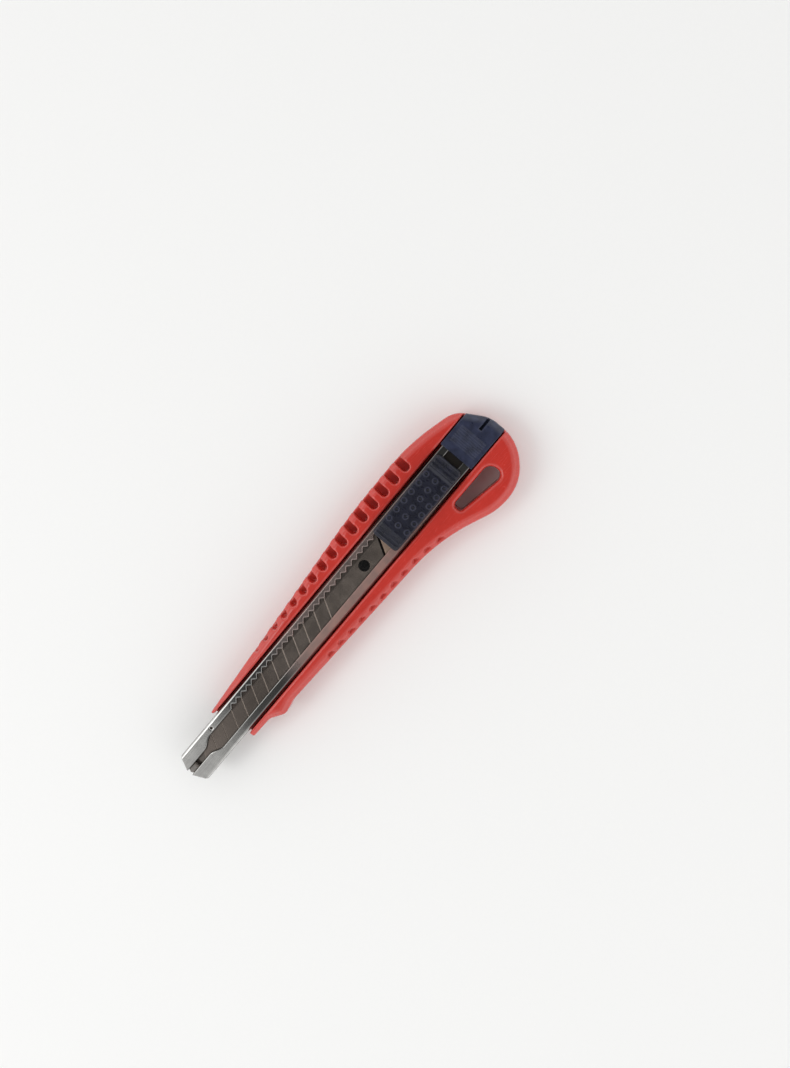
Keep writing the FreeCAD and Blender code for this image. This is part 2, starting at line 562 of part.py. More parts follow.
# ---------------------------------------------------------------- blade
def slanted_strip(x, half_width, length):
    """A strip across the blade, slanted like its segments, from x backwards."""
    shift = f"{half_width} * {SLANT}"
    return [(f"{x} - {shift}", f"-{half_width}", "0"), (f"{x} - {shift} + {length}", f"-{half_width}", "0"),
            (f"{x} + {shift} + {length}", half_width, "0"), (f"{x} + {shift}", half_width, "0")]


def make_blade():
    body = new_body("blade")
    half = "(d.blade_width / 2)"
    plan = new_sketch(body, "blade_plan", offset=BLADE_UNDER_Z)
    add_profile(plan, slanted_strip(TIP, half, "d.blade_length"))
    pad(body, plan, "blade_strip", "d.blade_thickness")

    hole = new_sketch(body, "stud_hole_plan", offset=BLADE_TOP_Z)
    add_circle(hole, STUD_X, "0", "d.stud_hole_radius")
    cut_down(body, hole, "stud_hole", "d.blade_thickness")

    score = new_sketch(body, "score_plan", offset=BLADE_TOP_Z)
    add_profile(score, slanted_strip(f"({TIP} + d.segment_pitch - d.score_width / 2)", f"({half} + 0.5)",
                                     "d.score_width"))
    first_score = cut_down(body, score, "first_score_line", "d.score_depth")
    repeat(body, first_score, "score_lines", "d.segment_pitch", "d.score_count")

    grind = new_sketch(body, "grind_section", "YZ_Plane", offset=f"{TIP} - d.blade_width")
    slope = "(d.blade_thickness - d.edge_land) / 2"
    edge, inner = f"-{half} - 0.01", f"-{half} + d.edge_grind"
    add_profile(grind, [(edge, f"{BLADE_TOP_Z} - {slope}", "0"), (inner, BLADE_TOP_Z, "0"),
                        (edge, BLADE_TOP_Z, "0")])
    add_profile(grind, [(edge, BLADE_UNDER_Z, "0"), (inner, BLADE_UNDER_Z, "0"),
                        (edge, f"{BLADE_UNDER_Z} + {slope}", "0")])
    extrude(body, "Pocket", grind, "ground_edge", "d.blade_length + 2 * d.blade_width", reverse=True)


# ---------------------------------------------------------------- carrier and stud
def leg_box(side, x):
    """Plan of a leg of the thumb slider, whose front is at x: side is -1 below, 1 above the middle line."""
    near_side, far_side = "d.leg_side", "(d.leg_side + d.leg_width)"
    low, high = (f"-{far_side}", f"-{near_side}") if side < 0 else (near_side, far_side)
    return [x, f"({x} + d.leg_length)", low, high]


LEGS = [(-1, f"({SLIDER_FRONT} + d.leg_front)"), (1, f"({SPRING_ROOT_X} + d.spring_root + d.leg_rear)")]


def make_carrier():
    body = new_body("blade_carrier")
    shift = f"{CARRIER_HALF} * {SLANT}"
    plate = new_sketch(body, "plate_plan", offset=PLATE_UNDER_Z)
    add_profile(plate, [(f"{PLATE_FRONT} - {shift}", f"-{CARRIER_HALF}", "0"),
                        (CARRIER_REAR, f"-{CARRIER_HALF}", "0"), (CARRIER_REAR, CARRIER_HALF, "0"),
                        (f"{PLATE_FRONT} + {shift}", CARRIER_HALF, "0")])
    pad(body, plate, "plate", "d.carrier_sheet")
    flange = new_sketch(body, "flange_plan", offset=f"{BASE_Z} + d.floor_play")
    inner = f"({CARRIER_HALF} - d.carrier_sheet)"
    front = f"{PLATE_FRONT} + {shift}"
    add_box(flange, front, CARRIER_REAR, inner, CARRIER_HALF)
    add_box(flange, front, CARRIER_REAR, f"-{CARRIER_HALF}", f"-{inner}")
    pad(body, flange, "flanges", f"{BLADE_TOP_Z} - {BASE_Z} - d.floor_play")
    tongue = new_sketch(body, "tongue_plan", offset=TONGUE_UNDER_Z)
    half = "(d.tongue_width / 2)"
    tip = f"{STUD_X} - d.tongue_reach"
    add_profile(tongue, [(tip, f"-{half}", "d.tongue_corner"), (f"{front} + d.tongue_lap", f"-{half}", "0"),
                         (f"{front} + d.tongue_lap", half, "0"), (tip, half, "d.tongue_corner")])
    pad(body, tongue, "tongue", "d.carrier_sheet")

    holes = new_sketch(body, "carrier_hole_plan", offset=BLADE_TOP_Z)
    add_circle(holes, STUD_X, "0", "d.stud_shank + d.shank_play")
    add_circle(holes, RIVET_X, "0", "d.rivet_radius + d.shank_play")
    for side, x in LEGS:
        x_low, x_high, y_low, y_high = leg_box(side, x)
        add_box(holes, f"{x_low} - d.leg_play", f"{x_high} + d.leg_play",
                f"{y_low} - d.leg_play", f"{y_high} + d.leg_play")
    cut_down(body, holes, "carrier_holes", "3 * d.carrier_sheet")


def make_stud():
    body = new_body("blade_stud")
    side = new_sketch(body, "stud_side", "XZ_Plane")
    head = "(d.stud_hole_radius - d.stud_play)"
    foot = f"{TONGUE_UNDER_Z} - d.stud_foot"
    add_profile(side, [(STUD_X, foot, "0"), (f"{STUD_X} + {head}", foot, "0"),
                       (f"{STUD_X} + {head}", TONGUE_UNDER_Z, "0"),
                       (f"{STUD_X} + d.stud_shank", TONGUE_UNDER_Z, "0"),
                       (f"{STUD_X} + d.stud_shank", BLADE_UNDER_Z, "0"),
                       (f"{STUD_X} + {head}", BLADE_UNDER_Z, "0"),
                       (f"{STUD_X} + {head}", BLADE_TOP_Z, "0"), (STUD_X, BLADE_TOP_Z, "0")])
    revolve(body, side, "turned_stud", STUD_X)


# ---------------------------------------------------------------- ratchet spring and its rivet
def make_ratchet_spring():
    body = new_body("ratchet_spring")
    root = new_sketch(body, "root_plan", offset=BLADE_TOP_Z)
    half = "(d.spring_root_width / 2)"
    add_box(root, SPRING_ROOT_X, f"{SPRING_ROOT_X} + d.spring_root", f"-{half}", half)
    pad(body, root, "root", "d.spring_sheet")
    arm = new_sketch(body, "arm_plan", offset=f"{BLADE_TOP_Z} + d.spring_lift")
    inside = f"({half} - d.spring_sheet)"
    tip = f"{SLOT_HALF} + d.tooth_depth - d.pawl_play"
    end = f"{PAWL_X} - d.pawl_half - d.pawl_tail"
    rear = f"{SPRING_ROOT_X} + d.spring_root"
    front_bend, rear_bend = f"{PAWL_X} - d.pawl_half", f"{PAWL_X} + d.pawl_half"
    add_profile(arm, [(end, inside, "0"), (front_bend, inside, "0"),
                      (PAWL_X, f"{tip} - 1.4 * d.spring_sheet", "0"), (rear_bend, inside, "0"),
                      (rear, inside, "0"), (rear, half, "0"), (rear_bend, half, "0"),
                      (PAWL_X, tip, "d.tooth_land"), (front_bend, half, "0"), (end, half, "0")])
    pad(body, arm, "pawl_arm", f"{LIP_TOP_Z} - {BLADE_TOP_Z} - d.spring_lift")
    back = new_sketch(body, "rear_arm_plan", offset=f"{BLADE_TOP_Z} + d.spring_lift")
    add_box(back, SPRING_ROOT_X, f"{rear} + d.spring_rear_arm", f"-{half}", f"-{inside}")
    pad(body, back, "rear_arm", f"{LIP_TOP_Z} - {BLADE_TOP_Z} - d.spring_lift")
    hole = new_sketch(body, "root_hole_plan", offset=f"{BLADE_TOP_Z} + d.spring_sheet")
    add_circle(hole, RIVET_X, "0", "d.rivet_radius + d.shank_play")
    cut_down(body, hole, "root_hole", "d.spring_sheet")


def make_rivet():
    body = new_body("spring_rivet")
    side = new_sketch(body, "rivet_side", "XZ_Plane")
    x = RIVET_X
    foot = f"{PLATE_UNDER_Z} - d.rivet_head_height"
    seat = f"{BLADE_TOP_Z} + d.spring_sheet"
    add_profile(side, [(x, foot, "0"), (f"{x} + d.rivet_head_radius", foot, "0"),
                       (f"{x} + d.rivet_head_radius", PLATE_UNDER_Z, "0"),
                       (f"{x} + d.rivet_radius", PLATE_UNDER_Z, "0"), (f"{x} + d.rivet_radius", seat, "0"),
                       (f"{x} + d.rivet_head_radius", seat, "0"),
                       (f"{x} + d.rivet_head_radius", f"{seat} + d.rivet_head_height", "0"),
                       (x, f"{seat} + d.rivet_head_height", "0")])
    revolve(body, side, "turned_rivet", x)


# ---------------------------------------------------------------- thumb slider
def make_slider():
    body = new_body("slider_button")
    half = "(d.slider_width / 2)"
    plan = new_sketch(body, "slider_plan", offset=SLIDER_UNDER_Z)
    add_rounded_box(plan, SLIDER_FRONT, SLIDER_REAR, f"-{half}", half, "d.slider_corner")
    pad(body, plan, "slider_block", f"{SLIDER_TOP_Z} - {SLIDER_UNDER_Z}")
    side = new_sketch(body, "slider_side", "XZ_Plane")
    heel = f"({SLIDER_REAR} - d.slider_heel)"
    fall = "((d.slider_ramp_drop - d.slider_dish) / d.slider_ramp)"
    over = f"{SLIDER_TOP_Z} + 1"
    add_profile(side, [(f"{SLIDER_FRONT} - 1", f"{SLIDER_TOP_Z} - d.slider_ramp_drop - {fall}", "0"),
                       (f"{SLIDER_FRONT} + d.slider_ramp", PAD_Z, "d.slider_bend"),
                       (f"{heel} - d.slider_rise", PAD_Z, "d.slider_bend"), (heel, SLIDER_TOP_Z, "0"),
                       (heel, over, "0"), (f"{SLIDER_FRONT} - 1", over, "0")])
    shaped = extrude(body, "Pocket", side, "thumb_pad", "2 * d.slider_width", midplane=True)
    corner = value("d.slider_corner")
    inner_front, inner_rear = value(SLIDER_FRONT) + corner, value(SLIDER_REAR) - corner
    above = value(SLIDER_UNDER_Z) + corner
    rim = edges_where(shaped, lambda box: box.ZMin > above and not near(box.XLength + box.YLength, 0)
                      and not (near(box.XLength, 0) and inner_front < box.XMin < inner_rear))
    dress(body, "Fillet", "slider_rim", shaped, rim, "d.slider_edge")

    ribs = new_sketch(body, "slider_rib_side", "XZ_Plane")
    for index in range(int(value("d.front_rib_count"))):
        run = f"({index + 1} * d.rib_pitch)"
        add_circle(ribs, f"{SLIDER_FRONT} + {run}", f"{SLIDER_TOP_Z} - d.slider_ramp_drop + {run} * {fall}",
                   "d.rib_radius")
    for index in range(int(value("d.heel_rib_count"))):
        add_circle(ribs, f"{SLIDER_REAR} - ({index} + 0.75) * d.rib_pitch", SLIDER_TOP_Z, "d.rib_radius")
    pad(body, ribs, "slider_ribs", "d.slider_width - 4 * d.slider_edge", midplane=True)

    dots = new_sketch(body, "dot_plan", offset=f"{PAD_Z} - d.dot_height")
    for row in range(int(value("d.dot_rows"))):
        y = f"({row} - (d.dot_rows - 1) / 2) * d.dot_pitch"
        for column in range(int(value("d.dot_columns"))):
            add_circle(dots, f"{SLIDER_FRONT} + d.dot_first + {column} * d.dot_pitch", y, "d.dot_radius")
    pad(body, dots, "grip_dots", "2 * d.dot_height")

    hook_top = f"({PLATE_UNDER_Z} - d.hook_play)"
    for number, (flank, x) in enumerate(LEGS):
        x_low, x_high, y_low, y_high = leg_box(flank, x)
        leg = new_sketch(body, f"leg_{number}_plan", offset=f"{SLIDER_UNDER_Z} + 0.1")
        add_box(leg, x_low, x_high, y_low, y_high)
        pad(body, leg, f"leg_{number}", f"{SLIDER_UNDER_Z} + 0.1 - {hook_top} + d.hook_height", reverse=True)
        hook = new_sketch(body, f"hook_{number}_plan", offset=hook_top)
        add_box(hook, x_low, f"{x_high} + d.hook_reach", y_low, y_high)
        pad(body, hook, f"hook_{number}", "d.hook_height", reverse=True)

    outside = f"({SLOT_HALF} - d.cap_play)"
    edge_z = f"({BLADE_TOP_Z} + d.press_travel + d.press_play)"
    root_z = f"{SLIDER_UNDER_Z} + 0.1"
    rear_end = f"{SPRING_ROOT_X} + d.spring_root + d.spring_rear_arm - d.wedge_offset - d.wedge_length"
    wedges = (("pawl_wedge", "", f"{PAWL_X} + d.wedge_offset", "d.wedge_reach"),
              ("rear_wedge", "-", rear_end, "d.rear_wedge_reach"))
    for name, sign, x, slope in wedges:
        wedge = new_sketch(body, f"{name}_section", "YZ_Plane", offset=x)
        inner = f"({outside} - d.wedge_width)"
        corners = [(f"{sign}{inner}", edge_z, "0"), (f"{sign}{outside}", edge_z, "0"),
                   (f"{sign}{outside}", root_z, "0"), (f"{sign}({inner} - {slope})", root_z, "0")]
        add_profile(wedge, corners)
        pad(body, wedge, name, "d.wedge_length")


# ---------------------------------------------------------------- end cap
def make_cap():
    body = new_body("end_cap")
    half = f"({GROOVE_HALF} - d.cap_side_gap)"
    slope = "(d.shoulder_inset / (d.shoulder_y + d.butt_top_y))"
    shoulder = f"({BUTT} - ({half} + d.butt_top_y) * {slope})"

    def butt_end(front, width, shoulder_x):
        return [(front, f"-{width}", "0"), (BUTT, f"-{width}", "0"),
                (BUTT, "-d.butt_top_y", "d.butt_top_bend"), (shoulder_x, width, "0"), (front, width, "0")]

    block = new_sketch(body, "cap_plan", offset=f"{FLOOR_Z} + d.cap_floor_play")
    add_profile(block, butt_end(f"{GUIDE_END} + d.cap_play", half, shoulder))
    pad(body, block, "cap_block", f"{CAP_TOP_Z} - {FLOOR_Z} - d.cap_floor_play")
    roof = new_sketch(body, "roof_plan", offset=f"{LIP_TOP_Z} + d.cap_play")
    add_profile(roof, butt_end(CAP_FRONT, half, shoulder))
    roofed = pad(body, roof, "cap_roof", f"{CAP_TOP_Z} - {LIP_TOP_Z} - d.cap_play")
    top = value(CAP_TOP_Z)
    rear = value(GUIDE_END)
    rim = edges_where(roofed, lambda box: near(box.ZMin, top) and near(box.ZMax, top) and box.XMin > rear)
    dress(body, "Chamfer", "cap_bevel", roofed, rim, "d.rim_bevel - d.cap_drop")

    plug = new_sketch(body, "plug_plan", offset=f"{BASE_Z} + d.cap_play")
    plug_front = f"({GUIDE_END} - d.plug_length)"
    plug_half = f"({INNER_HALF} - d.cap_play)"
    add_profile(plug, [(plug_front, f"-{plug_half} + d.plug_bevel", "0"),
                       (f"{plug_front} + d.plug_bevel", f"-{plug_half}", "0"),
                       (f"{GUIDE_END} + 1", f"-{plug_half}", "0"), (f"{GUIDE_END} + 1", plug_half, "0"),
                       (f"{plug_front} + d.plug_bevel", plug_half, "0"),
                       (plug_front, f"{plug_half} - d.plug_bevel", "0")])
    pad(body, plug, "plug", f"{LIP_UNDER_Z} - {BASE_Z} - 2 * d.cap_play")
    web = new_sketch(body, "web_plan", offset=f"{BASE_Z} + 2 * d.cap_play")
    add_box(web, plug_front, f"{GUIDE_END} + 1", f"-{SLOT_HALF} + d.cap_play", f"{SLOT_HALF} - d.cap_play")
    pad(body, web, "web", f"{LIP_TOP_Z} + 2 * d.cap_play - {BASE_Z} - 2 * d.cap_play")

    slot = new_sketch(body, "snap_slot_plan", offset=CAP_TOP_Z)
    add_box(slot, f"{BUTT} - d.snap_slot_length", f"{BUTT} + 1",
            "-d.snap_slot_y - d.snap_slot_width / 2", "-d.snap_slot_y + d.snap_slot_width / 2")
    cut_down(body, slot, "snap_slot", "2 * d.groove_depth")

    ribs = new_sketch(body, "cap_rib_side", "XZ_Plane")
    for index in range(int(value("d.cap_rib_count"))):
        add_circle(ribs, f"{CAP_FRONT} + d.cap_rib_inset + {index} * d.cap_rib_pitch", CAP_TOP_Z,
                   "d.cap_rib_radius")
    pad(body, ribs, "cap_ribs", f"2 * ({half} - d.cap_rib_margin)", midplane=True)


make_handle()
make_guide()
make_blade()
make_carrier()
make_stud()
make_ratchet_spring()
make_rivet()
make_slider()
make_cap()
doc.recompute()

faults = [f"{item.Name}: {', '.join(item.State)}" for item in doc.Objects
          if "Invalid" in item.State or "Error" in item.State]
bodies = [item for item in doc.Objects if item.TypeId == "PartDesign::Body"]
faults += [f"{body.Label}: bad shape" for body in bodies if body.Shape.isNull() or not body.Shape.isValid()]
if faults:
    raise RuntimeError("\n".join(faults))

os.makedirs("parts", exist_ok=True)
for body in bodies:
    body.Shape.exportStep(f"parts/{body.Label}.step")
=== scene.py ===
"""Looks of the snap off knife, laid out as an add-on: one operator for each piece and one for the stage."""

import math

import bpy
import numpy as np
from bpy.props import FloatProperty, FloatVectorProperty, IntProperty, PointerProperty
from mathutils import Euler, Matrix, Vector


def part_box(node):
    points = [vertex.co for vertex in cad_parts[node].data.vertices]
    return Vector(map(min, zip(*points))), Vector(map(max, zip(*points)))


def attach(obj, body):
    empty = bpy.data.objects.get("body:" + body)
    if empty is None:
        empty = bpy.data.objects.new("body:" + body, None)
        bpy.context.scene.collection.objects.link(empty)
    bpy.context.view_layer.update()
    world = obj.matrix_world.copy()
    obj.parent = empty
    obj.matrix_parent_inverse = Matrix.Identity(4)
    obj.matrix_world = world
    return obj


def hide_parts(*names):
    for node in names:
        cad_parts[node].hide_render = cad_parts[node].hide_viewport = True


bl_info = {
    "name": "Snap Off Knife",
    "version": (1, 0, 0),
    "blender": (4, 5, 0),
    "location": "3D View > Sidebar > Knife",
    "description": "Builds the looks of a snap off knife on its packed solids",
    "category": "Object",
}

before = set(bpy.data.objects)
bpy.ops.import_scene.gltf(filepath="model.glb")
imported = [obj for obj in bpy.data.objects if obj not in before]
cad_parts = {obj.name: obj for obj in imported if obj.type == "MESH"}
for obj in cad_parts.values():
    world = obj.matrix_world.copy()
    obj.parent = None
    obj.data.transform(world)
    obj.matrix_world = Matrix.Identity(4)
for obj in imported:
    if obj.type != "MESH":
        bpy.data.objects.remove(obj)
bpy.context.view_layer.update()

MM = 0.001
GUIDE_LOW, GUIDE_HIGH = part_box("guide_channel")
CAP_LOW, CAP_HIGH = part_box("end_cap")
HANDLE_LOW, HANDLE_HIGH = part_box("handle_body")
SLIDER_LOW, SLIDER_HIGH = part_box("slider_button")
MOUTH_X = GUIDE_LOW.x / MM
MIDDLE_Y = (GUIDE_LOW.y + GUIDE_HIGH.y) / 2 / MM
BUTT = CAP_HIGH.x / MM - MOUTH_X
TOP = HANDLE_HIGH.z / MM
LIPS = GUIDE_HIGH.z / MM
SLIDER_FRONT, SLIDER_REAR = SLIDER_LOW.x / MM - MOUTH_X, SLIDER_HIGH.x / MM - MOUTH_X

# Outlines seen from above: corners x and y, in mm from the guide's mouth and middle line, and their bends
BUTT_TOP = (BUTT, -0.2, 9)
HANDLE_OUTLINE = [
    (22.7, -7.7, 0.4), (30.2, -7.9, 3.5), (34.6, -10.6, 3), (39.4, -9.6, 6), (BUTT - 35.7, -11.6, 60),
    (BUTT - 18.4, -18.9, 20), (BUTT - 8.5, -18.9, 13.4), (BUTT, -10.4, 13.4), BUTT_TOP,
    (BUTT - 5.2, 8.5, 8), (BUTT - 20.7, 12.7, 70), (BUTT - 46.9, 12.7, 220), (19.5, 6.95, 0.4),
]
EYE_OUTLINE = [
    (BUTT - 25.5, -11.0, 1.26), (BUTT - 9.65, -13.7, 2.2), (BUTT - 9.65, -8.2, 2.69),
    (BUTT - 25.5, -8.2, 1.37),
]
# Handle: climbing nose, groove, grip pockets and flutes
NOSE_RISE_X, NOSE_SLOPE = 48, 3.4 / 28.5
GROOVE_HALF, GROOVE_FLOOR = 5.95, 6.0
GRIP_FIRST, GRIP_PITCH, GRIP_END, GRIP_DEPTH = 44.2, 4.68, 7.8, 4.2
FLUTE_SKIP, FLUTE_RADIUS, FLUTE_SINK, FLUTE_DEPTH, BELLY_SIDE = 3, 1.25, 0.45, 1.7, 6
# Guide: section, slot with its flare, ratchet, gauge hole, sill, lock tab and the window it is cut from
GUIDE_HALF, GUIDE_HEIGHT, SHEET, FOLD = 5.4, 3.4, 0.5, 0.9
GUIDE_BASE, GUIDE_REAR, MOUTH_POINT = LIPS - GUIDE_HEIGHT, BUTT - 6.2, 2.75
MOUTH_HALF, SLOT_HALF, FLARE_FRONT, FLARE_REAR, FLARE_BEND = 0.9, 2.65, 10, 13.6, 5
TOOTH_FIRST, TOOTH_PITCH, TOOTH_LAST = 26.25, 2.5, 30
TOOTH_DEPTH, TOOTH_HALF, TOOTH_REACH = 1.1, 1.2, 1.26
GAUGE_HOLE = (16.2, 3.75, 0.4)
SILL_REAR, SILL_HALF, SILL_HEIGHT = 3.8, 4.1, 2.2
TAB_ROOT, TAB_LENGTH, TAB_HALF, TAB_DROP, TAB_PLAY = 62, 4, 1.5, 0.9, 0.25
# Blade: half its width, slant of its segments in degrees, and score lines
BLADE_HALF, SEGMENT_SLANT, SCORE_COUNT = 4.5, 30, 12
# Thumb slider: heights of its top, ribs (from the front, height), rings and legs
RAMP_FOOT, RAMP_RISE, RAMP_RUN = 11.7, 0.8, 4.4
PAD_TOP, HEEL_TOP, HEEL_RUN, HEEL_INSET = 12.5, 13.0, 0.9, 4.9
SLIDER_HALF, SLIDER_CORNER, SLIDER_UNDER = 4.5, 1.1, LIPS + 0.8
SLIDER_RIBS = [(1.3, 11.94), (2.6, 12.17), (28.45, 13.0), (27.15, 13.0), (25.85, 13.0)]
RIB_RADIUS, RIB_HALF = 0.3, 3.9
RING_FIRST, RING_PITCH, RING_RADIUS, RING_WIRE = 6.6, 3.24, 0.68, 0.27
WELL_RADIUS, WELL_LIFT = 0.55, 0.36
LEGS = [(SLIDER_FRONT + 7.4, -2.3, -0.3), (SLIDER_REAR - 7.0, 0.3, 2.3)]
LEG_FOOT, LEG_LENGTH, HOOK_LENGTH, HOOK_TOP = 7.65, 1.4, 2.2, 8.1
# End cap: its body, butt slope, ribs, snap slot, and the plug and web that reach into the guide
CAP_FRONT, CAP_HALF, CAP_TOP, CAP_BEVEL = BUTT - 14.5, GROOVE_HALF - 0.3, TOP - 0.25, 1.65
BUTT_SLOPE = 5.2 / 8.7
CAP_RIB_FIRST, CAP_RIB_PITCH, CAP_RIB_LAST, CAP_RIB_RADIUS, CAP_RIB_INSET = 2.8, 0.7, 7, 0.2, 1.3
SNAP_SLOT_FRONT, SNAP_SLOT_Y, SNAP_SLOT_HALF, SNAP_SLOT_FLOOR = BUTT - 4.5, -0.35, 0.4, 7.2
CAP_OVER_GUIDE, PLUG_LENGTH = BUTT - 6.05, 7.15
PLUG_HALF, PLUG_FLOOR, PLUG_ROOF = 4.75, 6.65, 8.75
WEB_HALF, WEB_FLOOR, WEB_ROOF = 2.5, 6.8, 9.7
# Spacing of the meshes, in mm
GUIDE_STEP, SLIDER_STEP, CAP_STEP = (0.3, 0.22, 0.16), (0.15,) * 3, (0.14,) * 3
# Camera: its place in m, its turn in degrees, and its lens and sensor height in mm
CAMERA_PLACE, CAMERA_TURN = (0.06605, 0.00261, 0.24327), (-7.2145, 5.9020, -50.2830)
CAMERA_LENS, SENSOR_HEIGHT = 18.65, 24.0


# ---------------------------------------------------------------- sizes and colours
class HandleSizes(bpy.types.PropertyGroup):
    """Sizes and colour of the moulded handle"""
    colour: FloatVectorProperty(name="Plastic", description="Colour of the moulded handle",
                                subtype="COLOR", default=(0.50, 0.033, 0.023), min=0, max=1)
    rim_bevel: FloatProperty(name="Rim bevel", description="Bevel round the top face",
                             unit="LENGTH", default=1.9 * MM, min=0)
    back_bevel: FloatProperty(name="Back bevel", description="Bevel round the resting face",
                              unit="LENGTH", default=1.2 * MM, min=0)
    softness: FloatProperty(name="Softness", description="How far the moulded edges are rounded",
                            unit="LENGTH", default=0.7 * MM, min=0.05 * MM)
    grip_count: IntProperty(name="Grip pockets", description="Pockets along the back", default=16, min=1)
    grip_width: FloatProperty(name="Pocket width", description="Width of a grip pocket",
                              unit="LENGTH", default=2.4 * MM, min=0)
    flute_count: IntProperty(name="Flutes", description="Shallow flutes along the belly", default=11, min=1)
    mesh_step: FloatProperty(name="Mesh step", description="Spacing of the handle's mesh",
                             unit="LENGTH", default=0.36 * MM, min=0.1 * MM)


class SteelSizes(bpy.types.PropertyGroup):
    """Sizes and colours of the steel pieces"""
    guide: FloatVectorProperty(name="Guide", description="Colour of the folded guide's plated steel",
                               subtype="COLOR", default=(0.435, 0.43, 0.415), min=0, max=1)
    blade: FloatVectorProperty(name="Blade", description="Colour of the oiled blade",
                               subtype="COLOR", default=(0.42, 0.355, 0.31), min=0, max=1)
    carrier: FloatVectorProperty(name="Carrier", description="Colour of the carrier's passivated steel",
                                 subtype="COLOR", default=(0.43, 0.31, 0.24), min=0, max=1)
    spring: FloatVectorProperty(name="Spring", description="Colour of the spring steel",
                                subtype="COLOR", default=(0.55, 0.54, 0.52), min=0, max=1)
    segment: FloatProperty(name="Segment", description="Length of a snap off segment",
                           unit="LENGTH", default=5 * MM, min=MM)
    edge_break: FloatProperty(name="Edge break", description="Rounding of the sheet's edges",
                              unit="LENGTH", default=0.07 * MM, min=0)


class SliderSizes(bpy.types.PropertyGroup):
    """Colours of the thumb slider and the end cap"""
    colour: FloatVectorProperty(name="Slider", description="Colour of the thumb slider",
                                subtype="COLOR", default=(0.0075, 0.0082, 0.0170), min=0, max=1)
    cap_colour: FloatVectorProperty(name="Cap", description="Colour of the end cap",
                                    subtype="COLOR", default=(0.021, 0.025, 0.050), min=0, max=1)


class StageSizes(bpy.types.PropertyGroup):
    """Colour of the floor and strength of the light"""
    floor: FloatVectorProperty(name="Floor", description="Colour of the pale floor",
                               subtype="COLOR", default=(0.89, 0.89, 0.88), min=0, max=1)
    sky: FloatProperty(name="Sky", description="Strength of the soft light from all round",
                       default=0.93, min=0)


# ---------------------------------------------------------------- finishes
class Signal:
    """A shader socket that takes part in sums: each sum adds its Math node."""

    def __init__(self, finish, socket):
        self.finish = finish
        self.socket = socket

    def sum(self, operation, *terms):
        return self.finish.maths(operation, *terms)

    def __add__(self, other):
        return self.sum("ADD", self, other)

    __radd__ = __add__

    def __sub__(self, other):
        return self.sum("SUBTRACT", self, other)

    def __rsub__(self, other):
        return self.sum("SUBTRACT", other, self)

    def __mul__(self, other):
        return self.sum("MULTIPLY", self, other)

    __rmul__ = __mul__

    def __abs__(self):
        return self.sum("ABSOLUTE", self)

    def wrapped(self, period):
        """Distance to the nearest multiple of a period."""
        return self.sum("PINGPONG", self, period / 2)

    def ramp(self, low, high):
        """0 below low, 1 above high and a smooth rise between them."""
        return self.finish.add("MapRange", {"interpolation_type": "SMOOTHSTEP", "clamp": True},
                               {"Value": self, "From Min": low, "From Max": high}, "Result")


class Nodes:
    """A node tree and the one way in which its nodes are added."""

    def __init__(self, tree):
        self.tree = tree
        self.tree.nodes.clear()

    def add(self, kind, settings, sockets, output=0):
        """A node of a kind, with its settings first and then the values or links of its sockets."""
        node = self.tree.nodes.new("ShaderNode" + kind)
        for name, setting in settings.items():
            setattr(node, name, setting)
        for name, given in sockets.items():
            if isinstance(given, Signal):
                self.tree.links.new(given.socket, node.inputs[name])
            else:
                node.inputs[name].default_value = given
        return Signal(self, node.outputs[output] if len(node.outputs) else None)

    def maths(self, operation, *terms):
        """A sum on numbers and signals."""
        return self.add("Math", {"operation": operation}, dict(enumerate(terms)))

    def blend(self, factor, first, second):
        """A colour between two colours."""
        return self.add("Mix", {"data_type": "RGBA"}, {0: factor, 6: rgba(first), 7: rgba(second)}, 2)


class Finish(Nodes):
    """A material, measured in mm in the knife's own frame."""

    def __init__(self, name):
        self.material = bpy.data.materials.new(name)
        self.material.use_nodes = True
        super().__init__(self.material.node_tree)
        place = self.add("TexCoord", {}, {}, "Object")
        self.place = self.add("VectorMath", {"operation": "SCALE"}, {0: place, "Scale": 1 / MM})
        x, y, z = (self.add("SeparateXYZ", {}, {0: self.place}, axis) for axis in "XYZ")
        self.x, self.y, self.z = x - MOUTH_X, y - MIDDLE_Y, z

    def stretched(self, x, y, z):
        """The place with each axis scaled, for grain that runs one way."""
        return self.add("VectorMath", {"operation": "MULTIPLY"}, {0: self.place, 1: (x, y, z)})

    def noise(self, scale, detail=2.0, place=None, roughness=0.5):
        """Cloudy noise from 0 to 1 that turns over scale times in a mm."""
        return self.add("TexNoise", {}, {"Vector": place or self.place, "Scale": scale, "Detail": detail,
                                         "Roughness": roughness}, "Fac")

    def bump(self, height, strength):
        """A surface normal from a height given in mm."""
        sockets = {"Height": height * MM, "Strength": strength, "Distance": 1.0}
        return self.add("Bump", {}, sockets, "Normal")

    def surface(self, **sockets):
        """The shader itself, with constants set on its own sockets."""
        names = {name.replace("_", " "): given for name, given in sockets.items()}
        self.add("OutputMaterial", {}, {"Surface": self.add("BsdfPrincipled", {}, names, "BSDF")})
        return self.material


def rgba(colour):
    """A colour with its alpha; one that comes from a node stays as it is."""
    return colour if isinstance(colour, Signal) else (*colour[:3], 1.0)


def shade(colour, factor):
    """A colour made darker or lighter."""
    return tuple(min(1.0, part * factor) for part in colour)


def slot_edge(f):
    """Half the width of the guide's slot, which flares behind the mouth."""
    return MOUTH_HALF + f.x.ramp(FLARE_FRONT - 0.4, FLARE_REAR + 0.4) * (SLOT_HALF - MOUTH_HALF)


